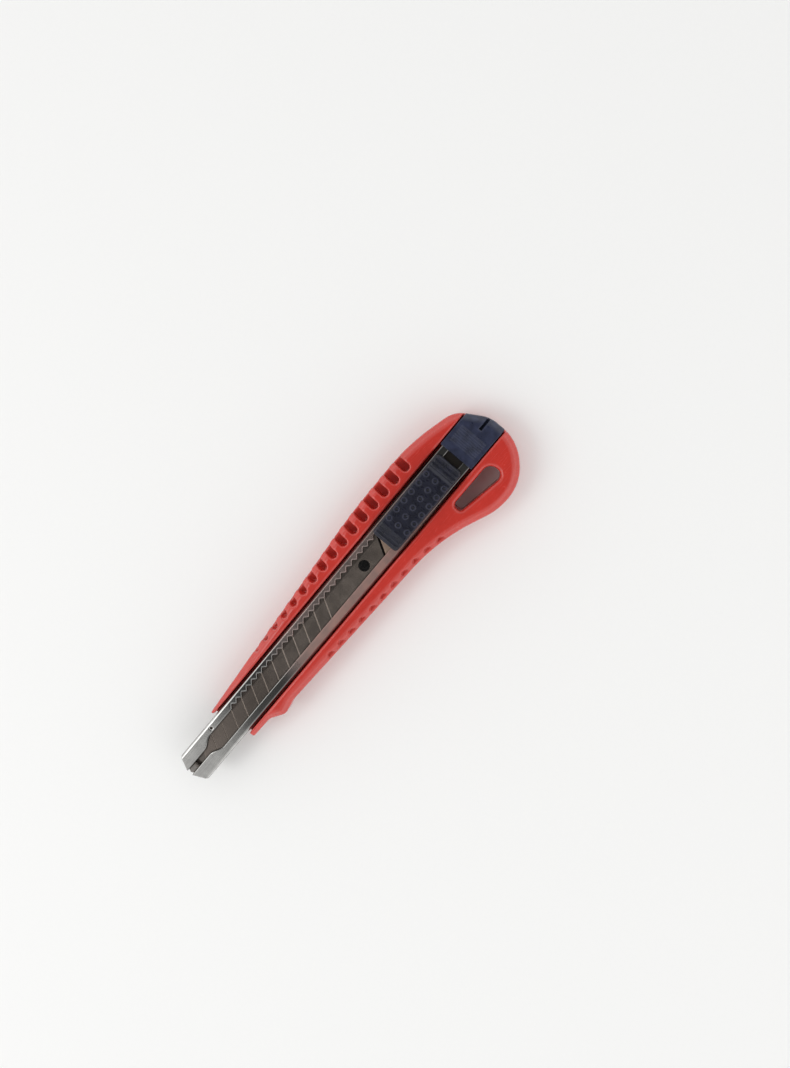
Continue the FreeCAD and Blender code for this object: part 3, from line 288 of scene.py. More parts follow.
def handle_finish(sizes):
    """Glossy moulded plastic: slight ripple, faint flow marks and fine handling scratches."""
    f = Finish("handle_plastic")
    flow = f.noise(0.09, 3.0, f.stretched(0.35, 1.0, 1.0))
    cloud = f.noise(0.6, 2.0)
    mottle = f.noise(9.0, 2.0)
    tone = flow * 0.5 + cloud * 0.3 + mottle * 0.2
    colour = f.blend(tone.ramp(0.32, 0.68), shade(sizes.colour, 0.92), shade(sizes.colour, 1.06))
    scratch = f.noise(1.4, 3.0, f.stretched(0.15, 5.0, 5.0)).ramp(0.56, 0.74)
    ripple = f.noise(1.6, 1.0) * 0.012 + f.noise(12.0, 2.0) * 0.0022
    rough = 0.2 + cloud * 0.1 + scratch * 0.06
    return f.surface(Base_Color=colour, Roughness=rough, Normal=f.bump(ripple, 1.0), IOR=1.5,
                     Coat_Weight=0.15, Coat_Roughness=0.08)


def guide_finish(sizes):
    """Plated sheet steel drawn along its length, with painted shade inside, along the slot's edges and
    along the handle, and a warm painted reflection on the lips.
    """
    f = Finish("guide_steel")
    drawn = f.noise(1.0, 4.0, f.stretched(0.12, 9.0, 9.0), 0.6)
    patch = f.noise(0.35, 3.0)
    inside = 1 - f.z.ramp(LIPS - 0.75, LIPS - 0.45)
    lower = 0.45 + (1 - f.y.ramp(-2.6, -2.3)) * 0.55
    # Painted reflection: a warm brown patch on the lips from 40-58 to 100-122 mm, strongest on the lower
    # lip; the patch is also rougher and less metallic.
    painted_warm_reflection = f.x.ramp(40, 58) * (1 - f.x.ramp(100, 122)) * lower * (0.35 + patch * 0.9)
    # Painted shade along the slot's cut edges, weaker from 22-30 mm behind the mouth on.
    painted_edge_shade = (1 - abs(abs(f.y) - slot_edge(f)).ramp(0.16, 0.3)) * (1 - f.x.ramp(22, 30) * 0.7)
    # Painted shade along the handle: the guide is darkened from 17-31 mm behind the mouth on.
    painted_shade_band = f.x.ramp(17, 31)
    # Painted shade inside the channel, below the lips, deeper from 3 mm behind the mouth.
    painted_shade = inside * (0.6 + f.x.ramp(2.4, 3.0) * 0.25)
    tone = drawn * 0.6 + patch * 0.4
    plated = f.blend(tone.ramp(0.3, 0.7), shade(sizes.guide, 0.78), shade(sizes.guide, 1.12))
    # Painted shade along the handle.
    plated = f.blend(painted_shade_band * 0.75, plated, shade(sizes.guide, 0.35))
    # Painted shade on the slot's edges.
    plated = f.blend(painted_edge_shade * 0.85, plated, shade(sizes.guide, 0.12))
    # Painted warm reflection on the lips.
    plated = f.blend(painted_warm_reflection, plated, (0.33, 0.19, 0.16))
    # The painted shade inside the channel is a dark brown.
    colour = f.blend(painted_shade, plated, (0.115, 0.095, 0.08))
    rough = 0.10 + drawn * 0.07 + inside * 0.16 + painted_warm_reflection * 0.3
    return f.surface(Base_Color=colour, Roughness=rough, Metallic=1 - painted_warm_reflection * 0.7,
                     Normal=f.bump(drawn * 0.003 + f.noise(7.0, 2.0) * 0.0012, 0.8))


def blade_finish(sizes):
    """Oiled blade steel: cross-ground sides, score lines with a painted highlight, a bright ground edge,
    and painted shade at the front and along the lips' edges.
    """
    f = Finish("blade_steel")
    segment = sizes.segment / MM
    slant = math.tan(math.radians(SEGMENT_SLANT))
    along = f.x - f.y * slant
    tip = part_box("blade")[0].x / MM - MOUTH_X + BLADE_HALF * slant
    last = tip + SCORE_COUNT * segment
    line = 1 - (along - tip).wrapped(segment).ramp(0.08, 0.22)
    line = line * (1 - along.ramp(last + 0.4 * segment, last + 0.5 * segment))
    # The score lines' painted highlight fades towards the front.
    line = line * (0.3 + f.x.ramp(16, 28) * 0.7)
    ground = f.noise(1.0, 3.0, f.stretched(7.0, 0.3, 1.0), 0.6)
    mottle = f.noise(0.28, 3.0)
    ground_edge = 1 - f.y.ramp(-3.5, -3.3)
    # Painted shade at the front of the blade, fading out from 30 to 58 mm behind the mouth.
    painted_shade_band = 1 - f.x.ramp(30, 58)
    # Painted shadow of the lips along the slot's edges.
    painted_shade = (abs(f.y) - slot_edge(f)).ramp(-0.45, -0.1)
    worn_tail = f.x.ramp(58, 76)
    tone = ground * 0.2 + mottle * 0.8
    steel = f.blend(tone.ramp(0.34, 0.66), shade(sizes.blade, 0.74), shade(sizes.blade, 1.05))
    # Painted shade at the front of the blade.
    steel = f.blend(painted_shade_band * 0.85, steel, shade(sizes.blade, 0.35))
    # Painted shadow under the lips' edges.
    steel = f.blend(painted_shade * 0.5, steel, shade(sizes.blade, 0.08))
    # Painted highlight along the score lines.
    colour = f.blend(line * 0.36, steel, shade(sizes.blade, 1.9))
    colour = f.blend(ground_edge * 0.7, colour, shade(sizes.blade, 1.7))
    rough = 0.16 + ground * 0.08 + line * 0.25 + worn_tail * 0.05
    return f.surface(Base_Color=colour, Metallic=1.0, Roughness=rough, Normal=f.bump(ground * 0.003, 0.7))


def carrier_finish(sizes):
    """Passivated pressed steel, brownish and blotchy, with painted shade in the gap behind the blade."""
    f = Finish("carrier_steel")
    patch = f.noise(0.5, 4.0, roughness=0.6)
    drawn = f.noise(1.0, 3.0, f.stretched(0.3, 8.0, 8.0))
    tone = patch * 0.65 + drawn * 0.35
    colour = f.blend(tone.ramp(0.32, 0.68), shade(sizes.carrier, 0.72), shade(sizes.carrier, 1.2))
    # Painted shade on the carrier's low parts, in the gap behind the blade; there it is also rougher.
    painted_shade = 1 - f.z.ramp(LIPS - 0.85, LIPS - 0.75)
    colour = f.blend(painted_shade, colour, (0.012, 0.010, 0.009))
    return f.surface(Base_Color=colour, Metallic=1.0, Roughness=0.34 + patch * 0.16 + painted_shade * 0.3,
                     Normal=f.bump(drawn * 0.008 + patch * 0.006, 0.8))


def stud_painted_shade_finish():
    """Steel of the blade's stud painted near black, for the shade inside the blade's hole, and rubbed a
    little on its crown.
    """
    f = Finish("stud_painted_shade")
    patch = f.noise(1.4, 3.0)
    # Painted shade: the stud is near black, for the shade in the blade's hole.
    colour = f.blend(patch.ramp(0.5, 0.75), (0.005, 0.005, 0.005), (0.016, 0.015, 0.014))
    return f.surface(Base_Color=colour, Metallic=0.5, Roughness=0.2 + patch * 0.15,
                     Normal=f.bump(patch * 0.01, 0.8))


def spring_finish(sizes):
    """Rolled spring steel with fine lines along the strip."""
    f = Finish("spring_steel")
    drawn = f.noise(1.0, 3.0, f.stretched(0.2, 10.0, 10.0))
    colour = f.blend(drawn.ramp(0.3, 0.7), shade(sizes.spring, 0.7), shade(sizes.spring, 1.15))
    return f.surface(Base_Color=colour, Metallic=1.0, Roughness=0.22 + drawn * 0.14,
                     Normal=f.bump(drawn * 0.006, 0.7))


def navy_finish(name, colour, grain, gloss, painted_highlight=None):
    """Dark moulded plastic with a fine spark-eroded grain, rubbed a little smoother in use, and where given
    a painted highlight.
    """
    f = Finish(name)
    fine = f.noise(16.0, 3.0)
    cloud = f.noise(0.5, 3.0)
    rubbed = f.noise(1.2, 2.0, f.stretched(1.0, 0.4, 1.0)).ramp(0.5, 0.72)
    shown = f.blend((cloud * 0.7 + fine * 0.3).ramp(0.34, 0.66), shade(colour, 0.75), shade(colour, 1.35))
    rough = gloss + cloud * 0.14 - rubbed * 0.06
    # Painted highlight, four times lighter, where one is given; the plastic is also rougher there.
    if painted_highlight:
        crest = painted_highlight(f)
        shown = f.blend(crest * 0.55, shown, shade(colour, 4.0))
        rough = rough + crest * 0.08
    return f.surface(Base_Color=shown, Roughness=rough, IOR=1.4,
                     Normal=f.bump(fine * grain + cloud * 0.01, 1.0))


def ring_crests(f):
    """A painted highlight on the crests of the slider's rings."""
    along = f.x - SLIDER_FRONT
    across = f.maths("MINIMUM", (along - RING_FIRST).wrapped(RING_PITCH), 2.0)
    up = f.y.wrapped(RING_PITCH)
    away = f.maths("SQRT", across * across + up * up)
    ring = 1 - abs(away - RING_RADIUS).ramp(0.12, 0.34)
    pad = along.ramp(5.0, 5.4) * (1 - along.ramp(23.6, 24.0))
    crest = f.z.ramp(SLIDER_HIGH.z / MM - 0.75, SLIDER_HIGH.z / MM - 0.5)
    return ring * pad * crest * (0.45 + f.noise(1.1, 2.0))


# ---------------------------------------------------------------- moulded forms
def turn(corners):
    """A closed outline through anticlockwise corners (x, y, bend), as straight runs and round bends."""
    runs, bends, ends = [], [], []
    for i, (x, y, bend) in enumerate(corners):
        here = np.array((x, y), float)
        back = np.array(corners[i - 1][:2], float) - here
        ahead = np.array(corners[(i + 1) % len(corners)][:2], float) - here
        back /= np.linalg.norm(back)
        ahead /= np.linalg.norm(ahead)
        half = math.acos(np.clip(back @ ahead, -1, 1)) / 2
        middle = (back + ahead) / np.linalg.norm(back + ahead)
        hollow = back[0] * ahead[1] - back[1] * ahead[0] > 0
        reach = bend / math.tan(half)
        bends.append((here + middle * bend / math.sin(half), bend, -middle, math.sin(half), hollow))
        ends.append((here + back * reach, here + ahead * reach))
    for (_, start), (stop, _) in zip(ends, ends[1:] + ends[:1]):
        runs.append((start, stop))
    return runs, bends


def outside(outline, x, y):
    """Signed distance of places (x, y) from a closed outline: negative inside it."""
    x, y = np.broadcast_arrays(x, y)
    runs, bends = outline
    found = np.full(x.shape, 1e9)
    for start, stop in runs:
        length = np.linalg.norm(stop - start)
        run = (stop - start) / length
        rx, ry = x - start[0], y - start[1]
        side = rx * run[1] - ry * run[0]
        past = rx * run[0] + ry * run[1]
        beyond = past - np.clip(past, 0, length)
        gap = np.copysign(np.hypot(side, beyond), side)
        found = np.where(np.abs(gap) < np.abs(found), gap, found)
    for centre, bend, way, spread, hollow in bends:
        rx, ry = x - centre[0], y - centre[1]
        away = np.hypot(rx, ry)
        within = rx * way[0] + ry * way[1] >= spread * away - 1e-9
        gap = (bend - away) if hollow else (away - bend)
        found = np.where(within & (np.abs(gap) < np.abs(found)), gap, found)
    return found


def meet(a, b, round_off):
    """What two forms share, with the edge between them rounded off."""
    lap = np.maximum(round_off - np.abs(a - b), 0)
    return np.maximum(a, b) + lap * lap / (4 * round_off)


def join(a, b, fillet):
    """Two forms together, with a fillet between them."""
    return -meet(-a, -b, fillet)


def between(place, low, high):
    """Signed distance from the stretch between two places on one axis."""
    return np.maximum(low - place, place - high)


def block(x, y, z, low, high):
    """Signed distance of a plain block."""
    flat = np.maximum(between(x, low[0], high[0]), between(y, low[1], high[1]))
    return np.maximum(flat, between(z, low[2], high[2]))


def station(place, first, pitch, lowest, highest):
    """The nearest of a row of evenly spaced places, counted from the first."""
    return first + np.clip(np.round((place - first) / pitch), lowest, highest) * pitch


def skin(form, low, high, step):
    """The surface of a form as points and four-sided faces: one point in each cell that it passes."""
    axes = [np.arange(a - 1.5 * s, b + 2.5 * s, s) for a, b, s in zip(low, high, step)]
    depth = form(axes[0][:, None, None], axes[1][None, :, None], axes[2][None, None, :])
    inside = depth < 0
    shape = np.array(depth.shape) - 1
    total = np.zeros((*shape, 3))
    hits = np.zeros(shape)
    cuts = []
    for axis in range(3):
        low_side = [slice(None)] * 3
        high_side = [slice(None)] * 3
        low_side[axis], high_side[axis] = slice(None, -1), slice(1, None)
        a, b = depth[tuple(low_side)], depth[tuple(high_side)]
        cut = inside[tuple(low_side)] != inside[tuple(high_side)]
        share = np.where(cut, a / np.where(a == b, 1, a - b), 0)
        cuts.append((cut, inside[tuple(low_side)]))
        others = [k for k in range(3) if k != axis]
        for u in (0, 1):
            for v in (0, 1):
                pick = [slice(None)] * 3
                pick[others[0]] = slice(u, u + shape[others[0]])
                pick[others[1]] = slice(v, v + shape[others[1]])
                pick[axis] = slice(0, shape[axis])
                c, s = cut[tuple(pick)], share[tuple(pick)]
                hits += c
                total[..., axis] += s * c
                total[..., others[0]] += u * c
                total[..., others[1]] += v * c
    used = hits > 0
    number = np.full(shape, -1)
    number[used] = np.arange(used.sum())
    cell = np.argwhere(used)
    points = (cell + total[used] / hits[used][:, None]) * step + [axis[0] for axis in axes]
    faces = []
    for axis, (cut, starts_inside) in enumerate(cuts):
        u, v = [(1, 2), (2, 0), (0, 1)][axis]
        at = np.argwhere(cut)
        keep = (at[:, u] > 0) & (at[:, v] > 0) & (at[:, u] < shape[u]) & (at[:, v] < shape[v])
        at = at[keep]
        ring = []
        for du, dv in ((1, 1), (0, 1), (0, 0), (1, 0)):
            corner = at.copy()
            corner[:, u] -= du
            corner[:, v] -= dv
            ring.append(number[tuple(corner.T)])
        quad = np.stack(ring, 1)
        flip = ~starts_inside[tuple(at.T)]
        quad[flip] = quad[flip][:, ::-1]
        faces.append(quad)
    return points, np.concatenate(faces)


def slope_of(form, points, reach=0.02):
    """Depth and outward direction of a form at points."""
    x, y, z = points.T
    here = form(x, y, z)
    rise = np.stack([form(x + reach, y, z) - here, form(x, y + reach, z) - here,
                     form(x, y, z + reach) - here], 1) / reach
    length = np.linalg.norm(rise, axis=1, keepdims=True)
    return here, rise / np.maximum(length, 1e-6), length[:, 0]


def moulded_piece(name, form, box, step):
    """A mesh object over a form given in mm from the mouth of the guide, with the form's own normals."""
    shift = Vector((MOUTH_X, MIDDLE_Y, 0))
    points, faces = skin(form, *(corner / MM - shift for corner in box), step)
    for _ in range(2):
        depth, way, steep = slope_of(form, points)
        push = np.clip(depth / np.maximum(steep, 0.5), -0.5 * min(step), 0.5 * min(step))
        points -= way * push[:, None]
    normals = slope_of(form, points)[1]
    mesh = bpy.data.meshes.new(name)
    placed = (points + (MOUTH_X, MIDDLE_Y, 0)) * MM
    mesh.from_pydata(placed.tolist(), [], faces.tolist())
    mesh.validate()
    mesh.shade_smooth()
    mesh.normals_split_custom_set_from_vertices(normals.tolist())
    piece = bpy.data.objects.new(name, mesh)
    bpy.context.scene.collection.objects.link(piece)
    return piece


def handle_form(sizes):
    """The handle: bevelled rims, a climbing nose, groove, grip pockets, flutes and eye."""
    outline = turn(HANDLE_OUTLINE)
    eye_outline = turn(EYE_OUTLINE)
    half = sizes.grip_width / MM / 2
    rim_bevel, back_bevel, softness = sizes.rim_bevel / MM, sizes.back_bevel / MM, sizes.softness / MM

    def form(x, y, z):
        edge = outside(outline, x, y)
        rest = np.maximum(0, (NOSE_RISE_X - x) * NOSE_SLOPE)
        rim = (edge + z - TOP + rim_bevel) / math.sqrt(2)
        foot = (edge - z + rest + back_bevel) / math.sqrt(2)
        solid = meet(edge, z - TOP, round_off=0.2)
        solid = meet(solid, rim, round_off=softness)
        solid = meet(solid, (rest - z) * 0.99, round_off=0.3)
        solid = meet(solid, foot, round_off=0.6)
        groove = np.maximum(np.abs(y) - GROOVE_HALF, GROOVE_FLOOR - z)
        solid = meet(solid, -groove, round_off=0.8)
        across = x - station(x, GRIP_FIRST, GRIP_PITCH, 0, sizes.grip_count - 1)
        pocket = np.hypot(across, np.minimum(y - GRIP_END - half, 0)) - half
        pocket = np.maximum(pocket, TOP - GRIP_DEPTH - z)
        solid = meet(solid, -pocket, round_off=0.6)
        across = x - station(x, GRIP_FIRST, GRIP_PITCH, FLUTE_SKIP, FLUTE_SKIP + sizes.flute_count - 1)
        flute = np.hypot(across, edge + FLUTE_SINK) - FLUTE_RADIUS
        flute = np.maximum(np.maximum(flute, TOP - FLUTE_DEPTH - z), y + BELLY_SIDE)
        solid = meet(solid, -flute, round_off=0.5)
        return meet(solid, -outside(eye_outline, x, y), round_off=1.3)

    return form


def rounded_box(y, z, half, low, high, bend):
    """Signed distance from a box section with rounded corners."""
    side = np.abs(y) - half + bend
    rise = np.abs(z - (low + high) / 2) - (high - low) / 2 + bend
    return np.hypot(np.maximum(side, 0), np.maximum(rise, 0)) + np.minimum(np.maximum(side, rise), 0) - bend


def guide_form():
    """The folded guide: box section with a slot on top, pointed mouth, sill, ratchet, hole and lock tab."""
    past = GUIDE_REAR + 2
    half_slot = [(-2, MOUTH_HALF, 0.1), (FLARE_FRONT, MOUTH_HALF, FLARE_BEND),
                 (FLARE_REAR, SLOT_HALF, FLARE_BEND), (past, SLOT_HALF, 0.1)]
    slot_outline = turn([(x, -y, bend) for x, y, bend in half_slot] + half_slot[::-1])
    window_front, window_half = TAB_ROOT - TAB_LENGTH - TAB_PLAY, TAB_HALF + TAB_PLAY
    hole_x, hole_y, hole_radius = GAUGE_HOLE
    flank = math.hypot(TOOTH_DEPTH, TOOTH_HALF)

    def form(x, y, z):
        outer = rounded_box(y, z, GUIDE_HALF, GUIDE_BASE, LIPS, FOLD)
        inner = rounded_box(y, z, GUIDE_HALF - SHEET, GUIDE_BASE + SHEET, LIPS - SHEET, FOLD - SHEET)
        shell = np.maximum(outer, -inner)
        sill = np.maximum(np.maximum(x - SILL_REAR, np.abs(y) - SILL_HALF),
                          between(z, GUIDE_BASE, GUIDE_BASE + SILL_HEIGHT))
        shell = np.minimum(shell, meet(sill, x - SILL_REAR, round_off=0.2))
        aside = np.hypot(x - station(x, TOOTH_FIRST, TOOTH_PITCH, 0, TOOTH_LAST), 0.12)
        notch = (TOOTH_DEPTH * (aside - TOOTH_REACH) + TOOTH_HALF * (y - SLOT_HALF)) / flank
        opening = join(outside(slot_outline, x, y), np.maximum(notch, -y), fillet=0.2)
        opening = np.minimum(opening, np.hypot(x - hole_x, y - hole_y) - hole_radius)
        opening = np.maximum(opening, LIPS - GUIDE_HEIGHT / 2 - z)
        solid = meet(shell, -opening, round_off=np.where(y > 0, 0.42, 0.22))
        solid = meet(solid, np.abs(y) * MOUTH_POINT / GUIDE_HALF - x, round_off=0.3)
        window = np.maximum(between(x, window_front, TAB_ROOT), np.abs(y) - window_half)
        window = np.maximum(window, z - GUIDE_BASE - SHEET - 0.1)
        solid = np.maximum(np.maximum(solid, -window), x - GUIDE_REAR)
        fall = (TAB_ROOT - x) * TAB_DROP / TAB_LENGTH
        tab = np.abs(z - GUIDE_BASE - SHEET / 2 + fall) - SHEET / 2
        tab = np.maximum(tab, between(x, TAB_ROOT - TAB_LENGTH, TAB_ROOT + 0.1))
        tab = np.maximum(tab, np.abs(y) - TAB_HALF)
        return np.minimum(solid, tab)

    return form


def slider_form():
    """The thumb slider: ramp, dished pad and heel, ribs, rings and the legs that hook into the carrier."""
    plan = turn([(SLIDER_FRONT, -SLIDER_HALF, SLIDER_CORNER), (SLIDER_REAR, -SLIDER_HALF, SLIDER_CORNER),
                 (SLIDER_REAR, SLIDER_HALF, SLIDER_CORNER), (SLIDER_FRONT, SLIDER_HALF, SLIDER_CORNER)])

    def form(x, y, z):
        along = x - SLIDER_FRONT
        ramp = RAMP_FOOT + along * RAMP_RISE / RAMP_RUN
        heel = PAD_TOP + (x - (SLIDER_REAR - HEEL_INSET)) * (HEEL_TOP - PAD_TOP) / HEEL_RUN
        roof = z - np.minimum(ramp, np.clip(heel, PAD_TOP, HEEL_TOP))
        solid = meet(outside(plan, x, y), roof, round_off=0.7)
        solid = meet(solid, SLIDER_UNDER - z, round_off=0.2)
        for run, height in SLIDER_RIBS:
            rib = np.hypot(along - run, z - height + 0.02) - RIB_RADIUS
            solid = join(solid, meet(rib, np.abs(y) - RIB_HALF, round_off=0.3), fillet=0.15)
        away = np.hypot(along - station(along, RING_FIRST, RING_PITCH, 0, 5),
                        y - station(y, 0, RING_PITCH, -1, 1))
        ring = np.hypot(away - RING_RADIUS, z - PAD_TOP + 0.02) - RING_WIRE
        solid = join(solid, ring, fillet=0.1)
        well = np.hypot(away, z - PAD_TOP - WELL_LIFT) - WELL_RADIUS
        solid = meet(solid, -well, round_off=0.1)
        for front, near, far in LEGS:
            leg = block(x, y, z, (front, near, LEG_FOOT), (front + LEG_LENGTH, far, SLIDER_UNDER + 0.1))
            hook = block(x, y, z, (front, near, LEG_FOOT), (front + HOOK_LENGTH, far, HOOK_TOP))
            solid = np.minimum(solid, np.minimum(leg, hook))
        return solid

    return form


def cap_form():
    """The end cap: body that follows the butt, fine ribs, snap slot and the plug inside the guide."""
    half, wide = CAP_HALF, 30
    plan = turn([(CAP_FRONT, -half, 0.3), (BUTT, -half, 0.3), BUTT_TOP,
                 (BUTT - (half - BUTT_TOP[1]) * BUTT_SLOPE, half, 0.2), (CAP_FRONT, half, 0.3)])
    butt = turn([(CAP_FRONT - 9, -wide, 1), (BUTT, -wide, 1), BUTT_TOP,
                 (BUTT - (wide - BUTT_TOP[1]) * BUTT_SLOPE, wide, 1), (CAP_FRONT - 9, wide, 1)])
    guide_roof = LIPS + 0.15
    plug_front, plug_rear = CAP_OVER_GUIDE - PLUG_LENGTH, CAP_OVER_GUIDE + 1

    def form(x, y, z):
        under = np.clip(guide_roof - (x - CAP_OVER_GUIDE) * 12, GROOVE_FLOOR + 0.1, guide_roof)
        edge = (outside(butt, x, y) + z - CAP_TOP + CAP_BEVEL) / math.sqrt(2)
        solid = meet(outside(plan, x, y), z - CAP_TOP, round_off=0.35)
        solid = meet(solid, edge, round_off=0.6)
        solid = meet(solid, (under - z) * 0.8, round_off=0.15)
        aside = x - station(x, CAP_FRONT + CAP_RIB_FIRST, CAP_RIB_PITCH, 0, CAP_RIB_LAST)
        rib = np.hypot(aside, z - CAP_TOP + 0.07) - CAP_RIB_RADIUS
        solid = join(solid, meet(rib, np.abs(y) - half + CAP_RIB_INSET, round_off=0.2), fillet=0.1)
        slot = np.maximum(SNAP_SLOT_FRONT - x, np.abs(y - SNAP_SLOT_Y) - SNAP_SLOT_HALF)
        solid = meet(solid, -np.maximum(slot, SNAP_SLOT_FLOOR - z), round_off=0.5)
        plug = block(x, y, z, (plug_front, -PLUG_HALF, PLUG_FLOOR), (plug_rear, PLUG_HALF, PLUG_ROOF))
        web = block(x, y, z, (plug_front, -WEB_HALF, WEB_FLOOR), (plug_rear, WEB_HALF, WEB_ROOF))
        return np.minimum(solid, np.minimum(plug, web))

    return form


# ---------------------------------------------------------------- operators
def dress(node, material, edge_break=0.0):
    """A carried-over solid gets its finish and, where asked, broken edges."""
    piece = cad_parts[node]
    piece.data.materials.clear()
    piece.data.materials.append(material)
    if edge_break:
        weld = piece.modifiers.new("weld", "WELD")
        weld.merge_threshold = 1e-6
        bevel = piece.modifiers.new("edge_break", "BEVEL")
        bevel.width = edge_break
        bevel.segments = 2
        bevel.limit_method = "ANGLE"
        bevel.angle_limit = math.radians(40)
        bevel.use_clamp_overlap = False
        bevel.harden_normals = True


class KNIFE_OT_handle(bpy.types.Operator):
    """Moulds the handle with its groove, grip pockets, flutes and lanyard eye"""
    bl_idname = "knife.handle"
    bl_label = "Handle"

    def execute(self, context):
        sizes = context.scene.knife_handle
        piece = moulded_piece("handle_moulding", handle_form(sizes), (HANDLE_LOW, HANDLE_HIGH),
                              (sizes.mesh_step / MM,) * 3)
        piece.data.materials.append(handle_finish(sizes))
        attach(piece, "knife_body")
        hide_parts("handle_body")
        return {"FINISHED"}


class KNIFE_OT_guide(bpy.types.Operator):
    """Folds the steel guide with its two lips, the ratchet notches and the lock tab"""
    bl_idname = "knife.guide"
    bl_label = "Guide"

    def execute(self, context):
        piece = moulded_piece("folded_guide", guide_form(), (GUIDE_LOW, GUIDE_HIGH), GUIDE_STEP)
        piece.data.materials.append(guide_finish(context.scene.knife_steel))
        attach(piece, "knife_body")
        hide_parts("guide_channel")
        return {"FINISHED"}


class KNIFE_OT_blade(bpy.types.Operator):
    """Finishes the snap off blade"""
    bl_idname = "knife.blade"
    bl_label = "Blade"

    def execute(self, context):
        dress("blade", blade_finish(context.scene.knife_steel))
        return {"FINISHED"}


class KNIFE_OT_carriage(bpy.types.Operator):
    """Finishes the carrier, its stud and rivet, and the ratchet spring"""
    bl_idname = "knife.carriage"
    bl_label = "Carriage"

    def execute(self, context):
        sizes = context.scene.knife_steel
        dress("blade_carrier", carrier_finish(sizes), sizes.edge_break)
        dress("blade_stud", stud_painted_shade_finish(), sizes.edge_break)
        dress("spring_rivet", spring_finish(sizes), sizes.edge_break)
        dress("ratchet_spring", spring_finish(sizes), 0.5 * sizes.edge_break)
        return {"FINISHED"}


class KNIFE_OT_slider(bpy.types.Operator):
    """Moulds the thumb slider with its ribs and rings"""
    bl_idname = "knife.slider"
    bl_label = "Thumb slider"

    def execute(self, context):
        piece = moulded_piece("slider_moulding", slider_form(), (SLIDER_LOW, SLIDER_HIGH), SLIDER_STEP)
        colour = context.scene.knife_slider.colour
        # The slider's rings get a painted highlight on their crests.
        piece.data.materials.append(navy_finish("slider_plastic", colour, grain=0.03, gloss=0.22,
                                                painted_highlight=ring_crests))
        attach(piece, "thumb_slider")
        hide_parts("slider_button")
        return {"FINISHED"}


class KNIFE_OT_cap(bpy.types.Operator):
    """Moulds the end cap with its ribs and snap slot"""
    bl_idname = "knife.cap"
    bl_label = "End cap"

    def execute(self, context):
        piece = moulded_piece("cap_moulding", cap_form(), (CAP_LOW, CAP_HIGH), CAP_STEP)
        colour = context.scene.knife_slider.cap_colour
        piece.data.materials.append(navy_finish("cap_plastic", colour, grain=0.015, gloss=0.26))
        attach(piece, "cap")
        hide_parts("end_cap")
        return {"FINISHED"}


def lamp(name, place, size, power):
    """A soft rectangular light that faces the knife."""
    light = bpy.data.lights.new(name, "AREA")
    light.shape = "RECTANGLE"
    light.size, light.size_y = size
    light.energy = power
    holder = bpy.data.objects.new(name, light)
    holder.location = place
    holder.rotation_euler = (-Vector(place)).to_track_quat("-Z", "Y").to_euler()
    bpy.context.scene.collection.objects.link(holder)


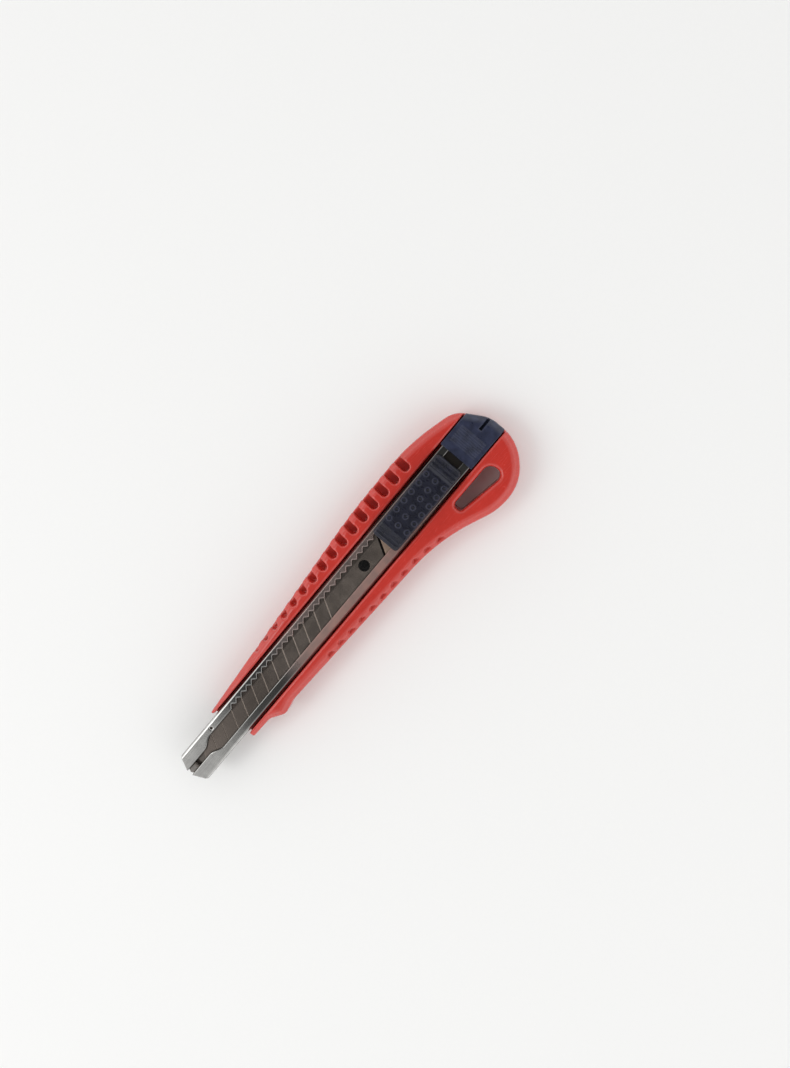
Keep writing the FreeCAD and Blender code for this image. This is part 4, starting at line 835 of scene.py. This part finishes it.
class KNIFE_OT_stage(bpy.types.Operator):
    """Sets the pale floor, the soft studio light and the camera"""
    bl_idname = "knife.stage"
    bl_label = "Stage"

    def execute(self, context):
        scene = context.scene
        sizes = scene.knife_stage
        mesh = bpy.data.meshes.new("studio_floor")
        reach, under = 3.0, -2e-5
        corners = [(-reach, -reach, under), (reach, -reach, under), (reach, reach, under),
                   (-reach, reach, under)]
        mesh.from_pydata(corners, [], [(0, 1, 2, 3)])
        floor = bpy.data.objects.new("studio_floor", mesh)
        scene.collection.objects.link(floor)
        f = Finish("floor_paper")
        paper = f.blend(f.noise(0.8, 4.0), shade(sizes.floor, 0.985), sizes.floor)
        mesh.materials.append(f.surface(Base_Color=paper, Roughness=0.9, Specular_IOR_Level=0.2))

        world = bpy.data.worlds.new("studio_sky")
        world.use_nodes = True
        sky = Nodes(world.node_tree)
        up = sky.add("SeparateXYZ", {}, {0: sky.add("TexCoord", {}, {}, "Generated")}, "Z")
        dark_ceiling = up.ramp(0.878, 0.905) * 0.88
        bright_horizon = (1 - up.ramp(0.0, 0.55)) * 1.1
        level = (1 - dark_ceiling) * (1 + bright_horizon) * sizes.sky
        light = sky.add("Background", {}, {"Color": (1.0, 1.0, 1.0, 1.0), "Strength": level})
        sky.add("OutputWorld", {}, {"Surface": light})
        scene.world = world
        lamp("key_light", (-0.45, 0.35, 0.6), size=(0.45, 0.45), power=1.5)
        lamp("fill_light", (0.15, -0.55, 0.35), size=(0.5, 0.3), power=0.4)

        camera = bpy.data.cameras.new("camera")
        camera.sensor_fit = "VERTICAL"
        camera.sensor_height = SENSOR_HEIGHT
        camera.lens = CAMERA_LENS
        camera.clip_start = 0.01
        holder = bpy.data.objects.new("camera", camera)
        holder.location = CAMERA_PLACE
        holder.rotation_euler = Euler([math.radians(angle) for angle in CAMERA_TURN])
        scene.collection.objects.link(holder)
        scene.camera = holder
        scene.view_settings.view_transform = "Standard"
        return {"FINISHED"}


STEPS = ["stage", "handle", "guide", "blade", "carriage", "slider", "cap"]


class KNIFE_PT_panel(bpy.types.Panel):
    """The knife's pieces, in the order in which they are made"""
    bl_idname = "KNIFE_PT_panel"
    bl_label = "Snap Off Knife"
    bl_space_type = "VIEW_3D"
    bl_region_type = "UI"
    bl_category = "Knife"

    def draw(self, context):
        for step in STEPS:
            self.layout.operator(f"knife.{step}")
        for group in GROUPS:
            sizes = getattr(context.scene, group)
            for name in sizes.bl_rna.properties.keys():
                if name not in ("rna_type", "name"):
                    self.layout.prop(sizes, name)


GROUPS = {"knife_handle": HandleSizes, "knife_steel": SteelSizes, "knife_slider": SliderSizes,
          "knife_stage": StageSizes}
CLASSES = [*GROUPS.values(), KNIFE_OT_stage, KNIFE_OT_handle, KNIFE_OT_guide, KNIFE_OT_blade,
           KNIFE_OT_carriage, KNIFE_OT_slider, KNIFE_OT_cap, KNIFE_PT_panel]


def register():
    for item in CLASSES:
        bpy.utils.register_class(item)
    for name, group in GROUPS.items():
        setattr(bpy.types.Scene, name, PointerProperty(type=group))


def unregister():
    for name in GROUPS:
        delattr(bpy.types.Scene, name)
    for item in reversed(CLASSES):
        bpy.utils.unregister_class(item)


def main():
    register()
    for step in STEPS:
        getattr(bpy.ops.knife, step)()


if __name__ == "__main__":
    main()
